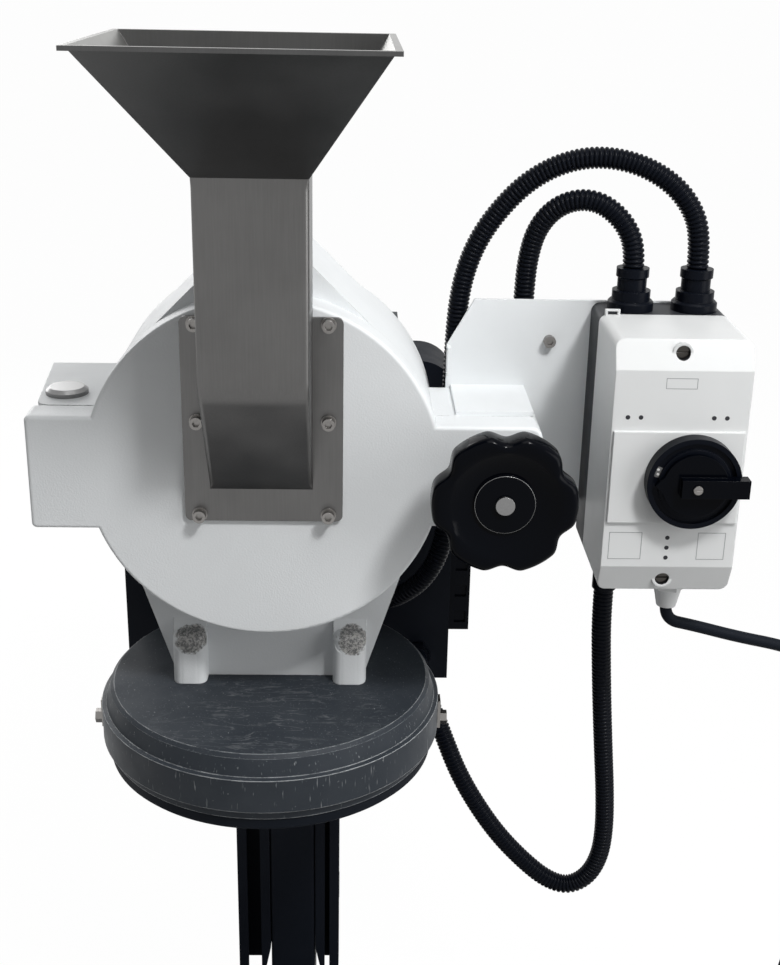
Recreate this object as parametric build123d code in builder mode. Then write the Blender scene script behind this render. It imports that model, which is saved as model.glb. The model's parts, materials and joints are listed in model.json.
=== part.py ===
"""Rotor mill with a feed hopper and a collector lid, on a column stand.

Millimetres, +Z up, the front faces -Y. The origin is on the floor, straight under
the centre of the collector lid. Heights called "up" are measured from the rotor axis.
"""
from build123d import *
import math
import os

os.makedirs("parts", exist_ok=True)

# ---- driving dimensions: drive line and clearances -------------------------------
axis_z = 756.0           # rotor axis above the floor
running_gap = 0.05       # radial play of a shaft or pin in its bore
moving_gap = 0.3         # air between faces that pass each other
seat_gap = 0.1           # air round a piece that sits in a pocket

# ---- door -------------------------------------------------------------------------
door_front = -56.5       # front face of the door
door_t = 28.0
door_r = 140.0
door_edge = 3.0          # rounding of the cast edges
block_left = -184.0      # hinge block, left of the disc
block_up = 45.0
block_down = -48.0
lug_right = 217.5        # lock lug, right of the disc
lug_up = 40.0
lug_down = -44.0
lug_corner = 10.0
gasket_r = 127.0
gasket_w = 6.0
gasket_depth = 4.0
liner_r = 110.0
liner_t = 4.0

# ---- feed: plate, chute, hopper -----------------------------------------------------
plate_w = 123.6
plate_h = 164.7
plate_t = 3.0
plate_up = 43.7          # centre of the plate
plate_corner = 5.0
plate_screw_dx = 101.0
plate_screw_dz = 77.0
feed_w = 66.0            # feed hole through plate and door
feed_up = 74.0
feed_down = -4.0
sheet_t = 1.5
chute_x = -1.75          # centre of the chute
chute_w = 80.5
chute_d = 66.0
chute_top = 238.5
chute_bend = 85.0        # where the front starts to slope in
chute_toe = -12.0
hopper_w = 197.0
hopper_d = 191.0
hopper_rise = 90.9
rim_t = 3.0
rim_h = 3.0

# ---- screws ---------------------------------------------------------------------------
m6_r = 3.0
m6_head_r = 5.0
m6_head_h = 6.0
m6_socket_r = 2.9
m6_washer_r = 6.0
m6_washer_t = 1.6

# ---- housing ----------------------------------------------------------------------------
housing_r = 138.5
roof_up = 167.0
roof_back = 70.5
housing_back = 93.5
chamber_r = 122.0
chamber_depth = 105.5
foot_down = -204.75
foot_half = 80.0
foot_front = -7.5
foot_back = 68.5
boss_x = 68.0
boss_w = 28.0
boss_front = -24.5
boss_face = -174.0       # top of the upright face of a boss
boss_top = -150.0        # where its slanted top meets the foot
outlet_w = 104.0
outlet_front = -2.0
outlet_back = 54.0
lock_lug_back = 48.5

# ---- hinge --------------------------------------------------------------------------------
pin_x = -162.0
pin_y = 5.5
pin_r = 10.0
pin_head_r = 14.25
pin_base_r = 17.0
pin_head_h = 6.0
knuckle_r = 20.0
knuckle_up = 15.0
knuckle_down = -18.0
web_left = -178.0
web_right = -140.0
bush_wall = 3.0
hinge_lug_front = -26.5
hinge_lug_left = -180.0
hinge_lug_flare = -191.0

# ---- grinding chamber ---------------------------------------------------------------------------
sieve_in_r = 108.0
sieve_t = 2.0
sieve_columns = 20
sieve_rows = 3
sieve_hole = 18.0
sieve_back = 70.0
seat_w = 8.0
rotor_r = 106.0
rotor_front = -19.0
rotor_back = 62.0
rotor_disc_t = 8.0
rotor_hub_r = 30.0
rotor_hub_front = 24.0
rotor_eye_r = 60.0       # open space in front of the hub
blade_t = 10.0
blade_count = 8
nut_af = 46.0
nut_len = 30.0

# ---- shaft, bearings, motor -------------------------------------------------------------------------
shaft_nose_r = 14.0
shaft_r = 20.0
shaft_front = 4.0
shaft_tail = 440.0
seal_r = 30.0
seal_front = 79.0
bearing_r = 40.0
bearing_w = 18.0
bearing_front_y = 97.5
bearing_rear_y = 121.0
neck_r = 50.0
neck_flange_r = 75.0
neck_flange_t = 12.0
motor_flange_r = 80.0
motor_flange_t = 12.0
motor_r = 64.0
motor_fin_r = 74.0
motor_fin_count = 20
motor_fin_t = 3.0
motor_len = 225.0
cowl_r = 74.0
cowl_len = 72.0
cowl_t = 2.0
fan_r = 62.0
fan_len = 24.0
fan_blades = 7

# ---- stand ----------------------------------------------------------------------------------------------
head_front = 143.5
head_x = 8.0
head_w = 313.0
head_up = 36.0
head_down = -290.0
head_depth = 71.5
head_panel_t = 5.0
head_wall_t = 3.0
head_corner = 35.0
post_x = 9.5
post_w = 47.0
post_d = 60.0
post_top = 668.0
rail_left_w = 34.0
rail_right_w = 25.0
rail_d = 40.0
rail_t = 4.0
rail_lip = 10.0
rail_bottom = 92.0
rail_taper = 40.0
rail_gap = 0.5
base_w = 500.0
base_front = -200.0
base_back = 260.0
base_t = 10.0
base_corner = 25.0
anchor_dx = 440.0
anchor_dy = 400.0
anchor_r = 6.5
post_foot_w = 130.0
post_foot_d = 110.0
post_foot_t = 12.0
duct_w = 20.0
duct_d = 50.0
duct_down = -240.0
duct_up = 10.0
duct_slots = 9

# ---- collector lid --------------------------------------------------------------------------------------------
lid_r = 138.0
lid_band_r = 146.0
lid_step = 18.0          # from the top down to the band
lid_band_h = 29.0
lid_groove_h = 9.0
lid_groove_r = 141.0
lid_wall = 8.0
lid_top_t = 10.0
seal_h = 12.0
seal_w = 12.0
side_bolt_x = 151.5
side_bolt_down = -250.0

# ---- bracket and control box ------------------------------------------------------------------------------------
bracket_t = 3.0
bracket_left = 147.0
bracket_right = 345.0
bracket_up = 116.5
bracket_down = -60.0
bracket_cut = 22.0       # width of the cut corner
bracket_cut_up = 77.0
flange_down = 54.0
flange_d = 12.0
shelf_t = 3.0
shelf_left = 151.0
shelf_right = 213.0
box_left = 266.0
box_right = 371.0
box_up = 115.0
box_down = -92.0
box_base_front = 8.5
box_corner = 7.0
box_wall = 3.0
cover_top_front = -66.5
cover_front = -76.5
cover_slope_up = 93.0
cover_slope_down = -68.0
panel_up = 45.0
panel_down = -30.0
panel_raise = 2.0
cover_screw_x = 317.0
cover_screw_ups = (105.5, -80.5)
cover_screw_r = 5.0
cover_screw_seat = -65.5  # depth of the screw seats
cover_screw_depth = 5.5
switch_x = 330.6
switch_up = 7.0
dial_r = 36.5
dial_t = 12.0
handle_r = 25.0
handle_t = 11.0
handle_w = 14.6
handle_reach = 40.0
handle_shaft_r = 4.0
handle_shaft_len = 26.0

# ---- knob ----------------------------------------------------------------------------------------------------------
knob_x = 184.0
knob_up = -3.0
knob_r = 55.5
knob_scallop_r = 26.0
knob_scallop_at = 74.0
knob_lobes = 6
knob_rim_t = 24.0
knob_len = 56.0
knob_dish_r = 43.0
knob_dish_depth = 8.0
knob_hub_r = 20.0
hub_disc_r = 23.0
hub_disc_t = 2.5
spindle_r = 6.8
spindle_end_r = 7.25
spindle_hole_r = 8.5
spindle_grip = 15.0      # depth of the spindle in the housing lug
washer_r = 22.0
washer_t = 4.0

# ---- conduits, glands, mains lead --------------------------------------------------------------------------------------
conduit_r = 8.75
conduit_root_r = 7.4
conduit_bore_r = 6.4
short_ribs = 36
ribs_per_loft = 6        # keeps each loft to a small turn
gland_y = 28.5
gland_long_x = 346.0
gland_short_x = 294.0
gland_drop_x = 291.0
gland_h = 34.0
gland_flange_r = 18.5
gland_flange_h = 8.0
gland_ring_r = 15.5
gland_ring_h = 8.0
gland_body_r = 11.8
gland_drop_h = 43.0
gland_drop_r = 10.5
head_gland_h = 28.0
mains_x = 331.0
mains_y = -36.5
mains_gland_h = 28.0
mains_gland_af = 26.7
mains_r = 5.0
safety_w = 34.0
safety_d = 30.0
safety_h = 52.0
safety_neck_h = 18.0
coil_x = 380.0
coil_r = 60.0
coil_pitch = 10.8
coil_layer = 10.8
coil_half_turns_in = 3
coil_reverse_step = 12.0 # where the spiral turns outward again
coil_half_turns_out = 3
coil_tail = 50.0
plug_r = 15.8
plug_len = 52.0
plug_pin_r = 2.4
plug_pin_len = 19.0
plug_pin_dx = 19.0

# ---- places that follow from the dimensions ---------------------------------------------------------------------------
door_back = door_front + door_t
chamber_back = door_back + chamber_depth
lid_top = axis_z + foot_down
box_back = lock_lug_back
head_panel_back = head_front + head_panel_t
motor_front = head_panel_back + motor_flange_t
motor_back = motor_front + motor_len
cowl_back = motor_back + cowl_len
knob_back = door_front - washer_t
knob_front = knob_back - knob_len
plate_front = door_front - plate_t
dial_front = cover_front - panel_raise - dial_t
handle_front = dial_front - moving_gap - handle_t
left_rail_x = post_x - post_w / 2 - rail_gap - rail_left_w / 2
right_rail_x = post_x + post_w / 2 + rail_gap + rail_right_w / 2
duct_x = head_x + head_w / 2 + duct_w / 2
safety_x = 211.0
safety_y = lock_lug_back + bracket_t + safety_d / 2
safety_up = 32.0
short_end_up = safety_up + safety_neck_h


def facing_front(y, x=0.0, up=0.0):
    """Upright drawing plane at depth y that faces the front; extruding comes forward."""
    return Plane(origin=(x, y, axis_z + up), x_dir=(1, 0, 0), z_dir=(0, -1, 0))


def facing_right(x, y=0.0, up=0.0):
    """Upright drawing plane at x that faces right, drawn in y and height."""
    return Plane(origin=(x, y, axis_z + up), x_dir=(0, 1, 0), z_dir=(1, 0, 0))


def facing_up(z, x=0.0, y=0.0):
    """Level drawing plane at height z above the floor."""
    return Plane(origin=(x, y, z))


def radial_plane(angle):
    """Plane through the rotor axis, turned by angle from upright, drawn in y and radius."""
    a = math.radians(angle)
    return Plane(origin=(0, 0, axis_z), x_dir=(0, 1, 0), z_dir=(math.cos(a), 0, -math.sin(a)))


# ================================================================ stand
with BuildPart() as base_plate:
    with BuildSketch(facing_up(0, 0, (base_front + base_back) / 2)):
        RectangleRounded(base_w, base_back - base_front, base_corner)
        with GridLocations(anchor_dx, anchor_dy, 2, 2):
            Circle(anchor_r, mode=Mode.SUBTRACT)
    extrude(amount=base_t)
base_plate.part.label = "base_plate"
export_step(base_plate.part, "parts/base_plate.step")

post_y = head_panel_back + post_d / 2
with BuildPart() as column_post:
    with BuildSketch(facing_up(base_t, post_x, post_y)):
        RectangleRounded(post_foot_w, post_foot_d, 8)
        with GridLocations(post_foot_w - 30, post_foot_d - 30, 2, 2):
            Circle(m6_r * 2, mode=Mode.SUBTRACT)
    extrude(amount=post_foot_t)
    with BuildSketch(facing_up(base_t, post_x, post_y)):
        RectangleRounded(post_w, post_d, 4)
    extrude(amount=post_top - base_t)
column_post.part.label = "column_post"
export_step(column_post.part, "parts/column_post.step")

with BuildPart() as post_bolts:
    with BuildSketch(facing_up(base_t + post_foot_t, post_x, post_y)):
        with GridLocations(post_foot_w - 30, post_foot_d - 30, 2, 2):
            RegularPolygon(9.5, 6, major_radius=False)
    extrude(amount=7.5)
    with BuildSketch(facing_up(base_t + post_foot_t, post_x, post_y)):
        with GridLocations(post_foot_w - 30, post_foot_d - 30, 2, 2):
            Circle(m6_r * 2 - seat_gap)
    extrude(amount=-post_foot_t)
post_bolts.part.label = "post_bolts"
export_step(post_bolts.part, "parts/post_bolts.step")


def guide_rail(x, width, inner_side):
    """Lipped channel, open to the front, its inner edge cut back at the bottom."""
    y = head_panel_back + rail_d / 2
    with BuildPart() as rail:
        with BuildSketch(facing_up(rail_bottom, x, y)):
            Rectangle(width, rail_d)
            Rectangle(width - 2 * rail_t, rail_d - 2 * rail_t, mode=Mode.SUBTRACT)
            with Locations((0, -rail_d / 2)):
                Rectangle(width - 2 * rail_lip, 2 * rail_t + 1, mode=Mode.SUBTRACT)
        extrude(amount=post_top - rail_bottom)
        edge = inner_side * width / 2
        with BuildSketch(facing_front(y + rail_d, x, rail_bottom - axis_z)):
            with BuildLine():
                Polyline((edge, 0), (edge, rail_taper), (edge - inner_side * rail_t * 2, 0), close=True)
            make_face()
        extrude(amount=2 * rail_d, mode=Mode.SUBTRACT)
    return rail.part


rail_left = guide_rail(left_rail_x, rail_left_w, 1)
rail_left.label = "guide_rail_left"
export_step(rail_left, "parts/guide_rail_left.step")

rail_right = guide_rail(right_rail_x, rail_right_w, -1)
rail_right.label = "guide_rail_right"
export_step(rail_right, "parts/guide_rail_right.step")

with BuildPart() as rail_brackets:
    span = right_rail_x + rail_right_w / 2 - left_rail_x + rail_left_w / 2
    middle = (right_rail_x + rail_right_w / 2 + left_rail_x - rail_left_w / 2) / 2
    for height in (rail_bottom + 60, 300, 440):
        with BuildSketch(facing_up(height, middle, head_panel_back + post_d + 3)):
            Rectangle(span, 6)
        extrude(amount=30)
        with BuildSketch(facing_up(height)):
            for rail_x, rail_w in ((left_rail_x, rail_left_w), (right_rail_x, rail_right_w)):
                with Locations((rail_x, head_panel_back + (rail_d + post_d) / 2)):
                    Rectangle(rail_w - 4, post_d - rail_d)
        extrude(amount=30)
rail_brackets.part.label = "rail_brackets"
export_step(rail_brackets.part, "parts/rail_brackets.step")

head_mid_up = (head_up + head_down) / 2
with BuildPart() as stand_head:
    with BuildSketch(facing_front(head_front + head_depth, head_x, head_mid_up)):
        RectangleRounded(head_w, head_up - head_down, head_corner)
        with Locations((0, -head_corner)):
            Rectangle(head_w, head_up - head_down - 2 * head_corner)
    extrude(amount=head_depth)
    with BuildSketch(facing_front(head_front + head_depth, head_x, head_mid_up)):
        RectangleRounded(head_w - 2 * head_wall_t, head_up - head_down - 2 * head_wall_t, head_corner - head_wall_t)
        with Locations((0, -head_corner)):
            Rectangle(head_w - 2 * head_wall_t, head_up - head_down - head_corner)
    extrude(amount=head_depth - head_panel_t, mode=Mode.SUBTRACT)
    with BuildSketch(facing_front(head_front + head_depth)):
        Circle(motor_flange_r + 4)
    extrude(amount=head_depth, mode=Mode.SUBTRACT)
    with BuildSketch(facing_front(head_panel_back)):
        Circle(motor_flange_r + 4)
    extrude(amount=head_panel_t)
    with BuildSketch(facing_up(0)):
        Circle(lid_band_r + 2)
    extrude(amount=lid_top + 4, mode=Mode.SUBTRACT)
    with BuildSketch(facing_front(head_panel_back)):
        Circle(shaft_r + 4)
        with PolarLocations(neck_flange_r - 12, 6):
            Circle(m6_r + seat_gap)
    extrude(amount=head_panel_t, mode=Mode.SUBTRACT)
stand_head.part.label = "stand_head"
export_step(stand_head.part, "parts/stand_head.step")

with BuildPart() as cable_duct:
    duct_mid_up = (duct_up + duct_down) / 2
    duct_y = head_front + 8 + duct_d / 2
    with BuildSketch(facing_up(axis_z + duct_down, duct_x, duct_y)):
        Rectangle(duct_w, duct_d)
        with Locations((-1, 0)):
            Rectangle(duct_w - 4, duct_d - 4, mode=Mode.SUBTRACT)
    extrude(amount=duct_up - duct_down)
    with BuildSketch(facing_front(duct_y, duct_x + 1, duct_mid_up)):
        with GridLocations(1, (duct_up - duct_down) / duct_slots, 1, duct_slots):
            Rectangle(duct_w - 9, 12)
    extrude(amount=duct_d, mode=Mode.SUBTRACT)
cable_duct.part.label = "cable_duct"
export_step(cable_duct.part, "parts/cable_duct.step")

# ================================================================ collector lid
with BuildPart() as collector_lid:
    band_top = lid_top - lid_step
    groove_top = band_top - lid_band_h
    lid_bottom = groove_top - lid_groove_h
    with BuildSketch(Plane.XZ):
        with BuildLine():
            Polyline(
                (0, lid_top), (lid_r - 3, lid_top), (lid_r, lid_top - 3), (lid_r + 4, band_top + 1),
                (lid_band_r, band_top), (lid_band_r, groove_top), (lid_groove_r, groove_top),
                (lid_groove_r, lid_bottom), (lid_groove_r - lid_wall, lid_bottom),
                (lid_r - lid_wall, lid_top - lid_top_t), (0, lid_top - lid_top_t), close=True,
            )
        make_face()
    revolve(axis=Axis.Z)
    with BuildSketch(facing_up(lid_top, 0, (outlet_front + outlet_back) / 2)):
        Rectangle(outlet_w, outlet_back - outlet_front)
    extrude(amount=-lid_top_t, mode=Mode.SUBTRACT)
    with Locations((-boss_x, 10, lid_top), (boss_x, 10, lid_top), (-boss_x, 56, lid_top), (boss_x, 56, lid_top)):
        Hole(m6_r + seat_gap, lid_top_t)
collector_lid.part.label = "collector_lid"
export_step(collector_lid.part, "parts/collector_lid.step")

with BuildPart() as lid_seal:
    with BuildSketch(Plane.XZ):
        with BuildLine():
            Polyline(
                (lid_groove_r - lid_wall, lid_bottom), (lid_groove_r - 1, lid_bottom),
                (lid_groove_r - 1, lid_bottom - seal_h + 3), (lid_groove_r - 4, lid_bottom - seal_h),
                (lid_groove_r - seal_w, lid_bottom - seal_h), (lid_groove_r - seal_w, lid_bottom - 2),
                (lid_groove_r - lid_wall, lid_bottom - 2), close=True,
            )
        make_face()
    revolve(axis=Axis.Z)
lid_seal.part.label = "lid_seal"
export_step(lid_seal.part, "parts/lid_seal.step")

with BuildPart() as lid_side_bolts:
    for side in (-1, 1):
        with BuildSketch(facing_right(side * lid_band_r, 0, side_bolt_down + 6)):
            Rectangle(14, 26)
        extrude(amount=side * 2.5)
        with BuildSketch(facing_right(side * (lid_band_r + 2.5), 0, side_bolt_down)):
            RegularPolygon(5.5, 6, major_radius=False)
        extrude(amount=side * 6)
        with BuildSketch(facing_right(side * (lid_band_r + 2.5), 0, side_bolt_down + 6)):
            Rectangle(14, 26)
        extrude(amount=-side * 6)
lid_side_bolts.part = lid_side_bolts.part - collector_lid.part
lid_side_bolts.part.label = "lid_side_bolts"
export_step(lid_side_bolts.part, "parts/lid_side_bolts.step")

# ================================================================ housing
tangent_turn = math.acos(housing_r / math.hypot(foot_half, foot_down))
tangent_at = math.atan2(foot_down, foot_half) + tangent_turn
foot_top_x = housing_r * math.cos(tangent_at)
foot_top_up = housing_r * math.sin(tangent_at)
roof_tangent = housing_r / math.sqrt(2)
roof_half = housing_r * math.sqrt(2) - roof_up

with BuildPart() as housing:
    with BuildSketch(facing_front(roof_back)):
        Circle(housing_r)
        with BuildLine():
            Polyline(
                (-roof_tangent, roof_tangent), (-roof_half, roof_up),
                (roof_half, roof_up), (roof_tangent, roof_tangent), close=True,
            )
        make_face()
    extrude(amount=roof_back - door_back)
    with BuildSketch(facing_front(housing_back)):
        Circle(housing_r)
    extrude(amount=housing_back - roof_back)
    with BuildSketch(facing_front(foot_back)):
        with BuildLine():
            Polyline(
                (-foot_top_x, foot_top_up), (foot_top_x, foot_top_up),
                (foot_half, foot_down), (-foot_half, foot_down), close=True,
            )
        make_face()
    extrude(amount=foot_back - foot_front)
    for side in (-1, 1):
        with BuildSketch(facing_right(side * boss_x - boss_w / 2)):
            with BuildLine():
                Polyline(
                    (foot_front, foot_down), (boss_front, foot_down), (boss_front, boss_face),
                    (foot_front, boss_top), close=True,
                )
            make_face()
        extrude(amount=boss_w)
    # hinge lug on the left, flaring to the back
    with BuildSketch(facing_up(axis_z + block_down)):
        with BuildLine():
            Polyline(
                (hinge_lug_left, hinge_lug_front), (-chamber_r + 2, hinge_lug_front),
                (-chamber_r + 2, housing_back), (hinge_lug_flare, housing_back), close=True,
            )
        lug_face = make_face()
        fillet(lug_face.vertices().sort_by(Axis.Y)[:2].sort_by(Axis.X)[0], 12)
    extrude(amount=block_up - block_down)
    # lock lug on the right
    with BuildSketch(facing_front(lock_lug_back)):
        with BuildLine():
            Polyline(
                (chamber_r - 2, lug_up), (lug_right, lug_up), (lug_right, lug_down),
                (chamber_r - 2, lug_down), close=True,
            )
        lock_face = make_face()
        fillet(lock_face.vertices().group_by(Axis.X)[-1], lug_corner)
    extrude(amount=lock_lug_back - door_back)
    # chamber, outlet, hinge slot and bores
    with BuildSketch(facing_front(chamber_back)):
        Circle(chamber_r)
    extrude(amount=chamber_depth, mode=Mode.SUBTRACT)
    with BuildSketch(facing_front(housing_back)):
        Circle(seal_r)
    extrude(amount=housing_back - chamber_back, mode=Mode.SUBTRACT)
    with BuildSketch(facing_up(lid_top, 0, (outlet_front + outlet_back) / 2)):
        Rectangle(outlet_w, outlet_back - outlet_front)
    extrude(amount=-foot_down - chamber_r * 0.7, mode=Mode.SUBTRACT)
    slot_back = pin_y + knuckle_r + 1
    with BuildSketch(facing_up(axis_z + knuckle_down - moving_gap)):
        with BuildLine():
            Polyline(
                (hinge_lug_flare - 5, door_back - 1), (web_right + 2, door_back - 1),
                (web_right + 2, slot_back), (hinge_lug_flare - 5, slot_back), close=True,
            )
        make_face()
    extrude(amount=knuckle_up - knuckle_down + 2 * moving_gap, mode=Mode.SUBTRACT)
    with Locations((pin_x, pin_y, axis_z + block_up)):
        Hole(pin_r, block_up - block_down)
    with BuildSketch(facing_front(lock_lug_back, knob_x, knob_up)):
        Circle(spindle_hole_r)
    extrude(amount=lock_lug_back - door_back, mode=Mode.SUBTRACT)
    with Locations((-boss_x, 10, lid_top), (boss_x, 10, lid_top), (-boss_x, 56, lid_top), (boss_x, 56, lid_top)):
        Hole(m6_r + seat_gap, 40, mode=Mode.PRIVATE)
    boss_edges = housing.edges().filter_by(Axis.Z).filter_by(
        lambda e: abs(e.center().Y - boss_front) < 0.1)
    fillet(boss_edges, 8)
    roof_edges = housing.edges().filter_by(Axis.Y).filter_by(
        lambda e: abs(e.center().Z - axis_z - roof_up) < 0.1)
    fillet(roof_edges, 6)
housing.part.label = "housing"
export_step(housing.part, "parts/housing.step")

with BuildPart() as foot_bolts:
    with Locations((-boss_x, 10, lid_top - lid_top_t), (boss_x, 10, lid_top - lid_top_t),
                   (-boss_x, 56, lid_top - lid_top_t), (boss_x, 56, lid_top - lid_top_t)):
        Cylinder(m6_r, lid_top_t, align=(Align.CENTER, Align.CENTER, Align.MIN))
        Cylinder(m6_head_r, m6_head_h, align=(Align.CENTER, Align.CENTER, Align.MAX))
foot_bolts.part.label = "foot_bolts"
export_step(foot_bolts.part, "parts/foot_bolts.step")

# ================================================================ grinding chamber
with BuildPart() as ring_sieve:
    sieve_front = door_back + liner_t + moving_gap
    with BuildSketch(facing_front(sieve_back)):
        Circle(sieve_in_r + sieve_t)
        Circle(sieve_in_r, mode=Mode.SUBTRACT)
    extrude(amount=sieve_back - sieve_front)
    row_step = (sieve_back - sieve_front) / sieve_rows
    for row in range(sieve_rows):
        y = sieve_front + row_step * (row + 0.5)
        for column in range(sieve_columns // 2):
            turn = 360 / sieve_columns * (column + 0.5 * (row % 2))
            with BuildSketch(Plane(radial_plane(turn).shift_origin((0, y, axis_z)).origin,
                                   x_dir=(0, 1, 0),
                                   z_dir=(math.sin(math.radians(turn)), 0, math.cos(math.radians(turn))))):
                Rectangle(sieve_hole, sieve_hole)
            extrude(amount=sieve_in_r + sieve_t + 5, both=True, mode=Mode.SUBTRACT)
ring_sieve.part.label = "ring_sieve"
export_step(ring_sieve.part, "parts/ring_sieve.step")

with BuildPart() as sieve_seat:
    with BuildSketch(facing_front(chamber_back)):
        Circle(sieve_in_r + sieve_t + 4)
        Circle(sieve_in_r - 4, mode=Mode.SUBTRACT)
    extrude(amount=chamber_back - sieve_back + seat_w)
    with BuildSketch(facing_front(sieve_back)):
        Circle(sieve_in_r + sieve_t + seat_gap)
        Circle(sieve_in_r - 5, mode=Mode.SUBTRACT)
    extrude(amount=seat_w, mode=Mode.SUBTRACT)
sieve_seat.part.label = "sieve_seat"
export_step(sieve_seat.part, "parts/sieve_seat.step")

with BuildPart() as rotor:
    with BuildSketch(facing_front(rotor_back)):
        Circle(rotor_r - 6)
    extrude(amount=rotor_disc_t)
    with BuildSketch(facing_front(rotor_back)):
        Circle(rotor_hub_r)
    extrude(amount=rotor_back - rotor_hub_front)
    for blade in range(blade_count):
        with BuildSketch(radial_plane(360 / blade_count * blade)):
            with BuildLine():
                Polyline(
                    (rotor_back, rotor_hub_r - 4), (rotor_hub_front + 6, rotor_hub_r - 4),
                    (rotor_hub_front + 6, rotor_eye_r - 12), (rotor_front, rotor_eye_r),
                    (rotor_front, rotor_r - 3), (rotor_front + 3, rotor_r), (rotor_back, rotor_r),
                    close=True,
                )
            make_face()
        extrude(amount=blade_t / 2, both=True)
    with BuildSketch(facing_front(rotor_back)):
        Circle(shaft_nose_r + running_gap)
    extrude(amount=rotor_back - rotor_hub_front, mode=Mode.SUBTRACT)
rotor.part.label = "rotor"
export_step(rotor.part, "parts/rotor.step")

with BuildPart() as rotor_nut:
    with BuildSketch(facing_front(rotor_hub_front)):
        RegularPolygon(nut_af / 2, 6, major_radius=False)
    extrude(amount=nut_len)
    chamfer(rotor_nut.edges().filter_by(
        lambda e: abs(e.center().Y - (rotor_hub_front - nut_len)) < 0.1), 3)
    with BuildSketch(facing_front(rotor_hub_front)):
        Circle(shaft_nose_r + running_gap)
    extrude(amount=rotor_hub_front - shaft_front + 1, mode=Mode.SUBTRACT)
rotor_nut.part.label = "rotor_nut"
export_step(rotor_nut.part, "parts/rotor_nut.step")

with BuildPart() as shaft:
    with BuildSketch(facing_front(shaft_tail)):
        Circle(shaft_nose_r)
    extrude(amount=shaft_tail - shaft_front)
    with BuildSketch(facing_front(head_front)):
        Circle(shaft_r)
    extrude(amount=head_front - rotor_back)
shaft.part.label = "shaft"
export_step(shaft.part, "parts/shaft.step")

with BuildPart() as shaft_seal:
    with BuildSketch(facing_front(housing_back - 2.5)):
        Circle(seal_r - seat_gap)
        Circle(shaft_r + running_gap, mode=Mode.SUBTRACT)
    extrude(amount=housing_back - 2.5 - seal_front)
shaft_seal.part.label = "shaft_seal"
export_step(shaft_seal.part, "parts/shaft_seal.step")

with BuildPart() as bearing_carrier:
    with BuildSketch(facing_front(head_front)):
        Circle(neck_r)
    extrude(amount=head_front - housing_back)
    with BuildSketch(facing_front(head_front)):
        Circle(neck_flange_r)
        with PolarLocations(neck_flange_r - 12, 6):
            Circle(m6_r + seat_gap, mode=Mode.SUBTRACT)
    extrude(amount=neck_flange_t)
    with BuildSketch(facing_front(head_front)):
        Circle(bearing_r)
    extrude(amount=head_front - bearing_front_y, mode=Mode.SUBTRACT)
    with BuildSketch(facing_front(head_front)):
        Circle(shaft_r + 4)
    extrude(amount=head_front - housing_back, mode=Mode.SUBTRACT)
bearing_carrier.part.label = "bearing_carrier"
export_step(bearing_carrier.part, "parts/bearing_carrier.step")

with BuildPart() as bearings:
    for bearing_y in (bearing_front_y, bearing_rear_y):
        with BuildSketch(facing_front(bearing_y + bearing_w)):
            Circle(bearing_r - seat_gap)
            Circle(shaft_r + running_gap, mode=Mode.SUBTRACT)
        extrude(amount=bearing_w)
        with BuildSketch(facing_front(bearing_y + 2)):
            Circle(bearing_r - 7)
            Circle(shaft_r + 7, mode=Mode.SUBTRACT)
        extrude(amount=2, mode=Mode.SUBTRACT)
bearings.part.label = "bearings"
export_step(bearings.part, "parts/bearings.step")

with BuildPart() as carrier_screws:
    with BuildSketch(facing_front(head_front - neck_flange_t)):
        with PolarLocations(neck_flange_r - 12, 6):
            Circle(m6_head_r)
    extrude(amount=m6_head_h)
    with BuildSketch(facing_front(head_panel_back)):
        with PolarLocations(neck_flange_r - 12, 6):
            Circle(m6_r)
    extrude(amount=head_panel_t + neck_flange_t)
carrier_screws.part.label = "carrier_screws"
export_step(carrier_screws.part, "parts/carrier_screws.step")

# ================================================================ motor
with BuildPart() as motor_flange:
    with BuildSketch(facing_front(motor_front)):
        Circle(motor_flange_r)
        Circle(shaft_nose_r + running_gap, mode=Mode.SUBTRACT)
    extrude(amount=motor_flange_t)
motor_flange.part.label = "motor_flange"
export_step(motor_flange.part, "parts/motor_flange.step")

with BuildPart() as motor_body:
    with BuildSketch(facing_front(motor_back)):
        Circle(motor_r)
        with PolarLocations(0, motor_fin_count):
            with Locations((motor_fin_r / 2, 0)):
                Rectangle(motor_fin_r, motor_fin_t)
        Circle(shaft_nose_r + running_gap, mode=Mode.SUBTRACT)
    extrude(amount=motor_len)
motor_body.part.label = "motor_body"
export_step(motor_body.part, "parts/motor_body.step")

with BuildPart() as terminal_box:
    with BuildSketch(facing_right(motor_fin_r + 1, motor_front + 112, 0)):
        RectangleRounded(95, 80, 8)
    extrude(amount=38)
    with BuildSketch(facing_right(motor_fin_r + 1, motor_front + 112, 0)):
        Rectangle(70, 50)
    extrude(amount=-(motor_fin_r - motor_r + 6))
terminal_box.part = terminal_box.part - motor_body.part
terminal_box.part.label = "terminal_box"
export_step(terminal_box.part, "parts/terminal_box.step")

with BuildPart() as fan_cowl:
    with BuildSketch(facing_front(cowl_back)):
        Circle(cowl_r)
    extrude(amount=cowl_len)
    with BuildSketch(facing_front(cowl_back - cowl_t)):
        Circle(cowl_r - cowl_t)
    extrude(amount=cowl_len, mode=Mode.SUBTRACT)
    with BuildSketch(facing_front(cowl_back)):
        with PolarLocations(cowl_r * 0.5, 12):
            Rectangle(cowl_r * 0.55, 6)
    extrude(amount=cowl_t, mode=Mode.SUBTRACT)
fan_cowl.part.label = "fan_cowl"
export_step(fan_cowl.part, "parts/fan_cowl.step")

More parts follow.
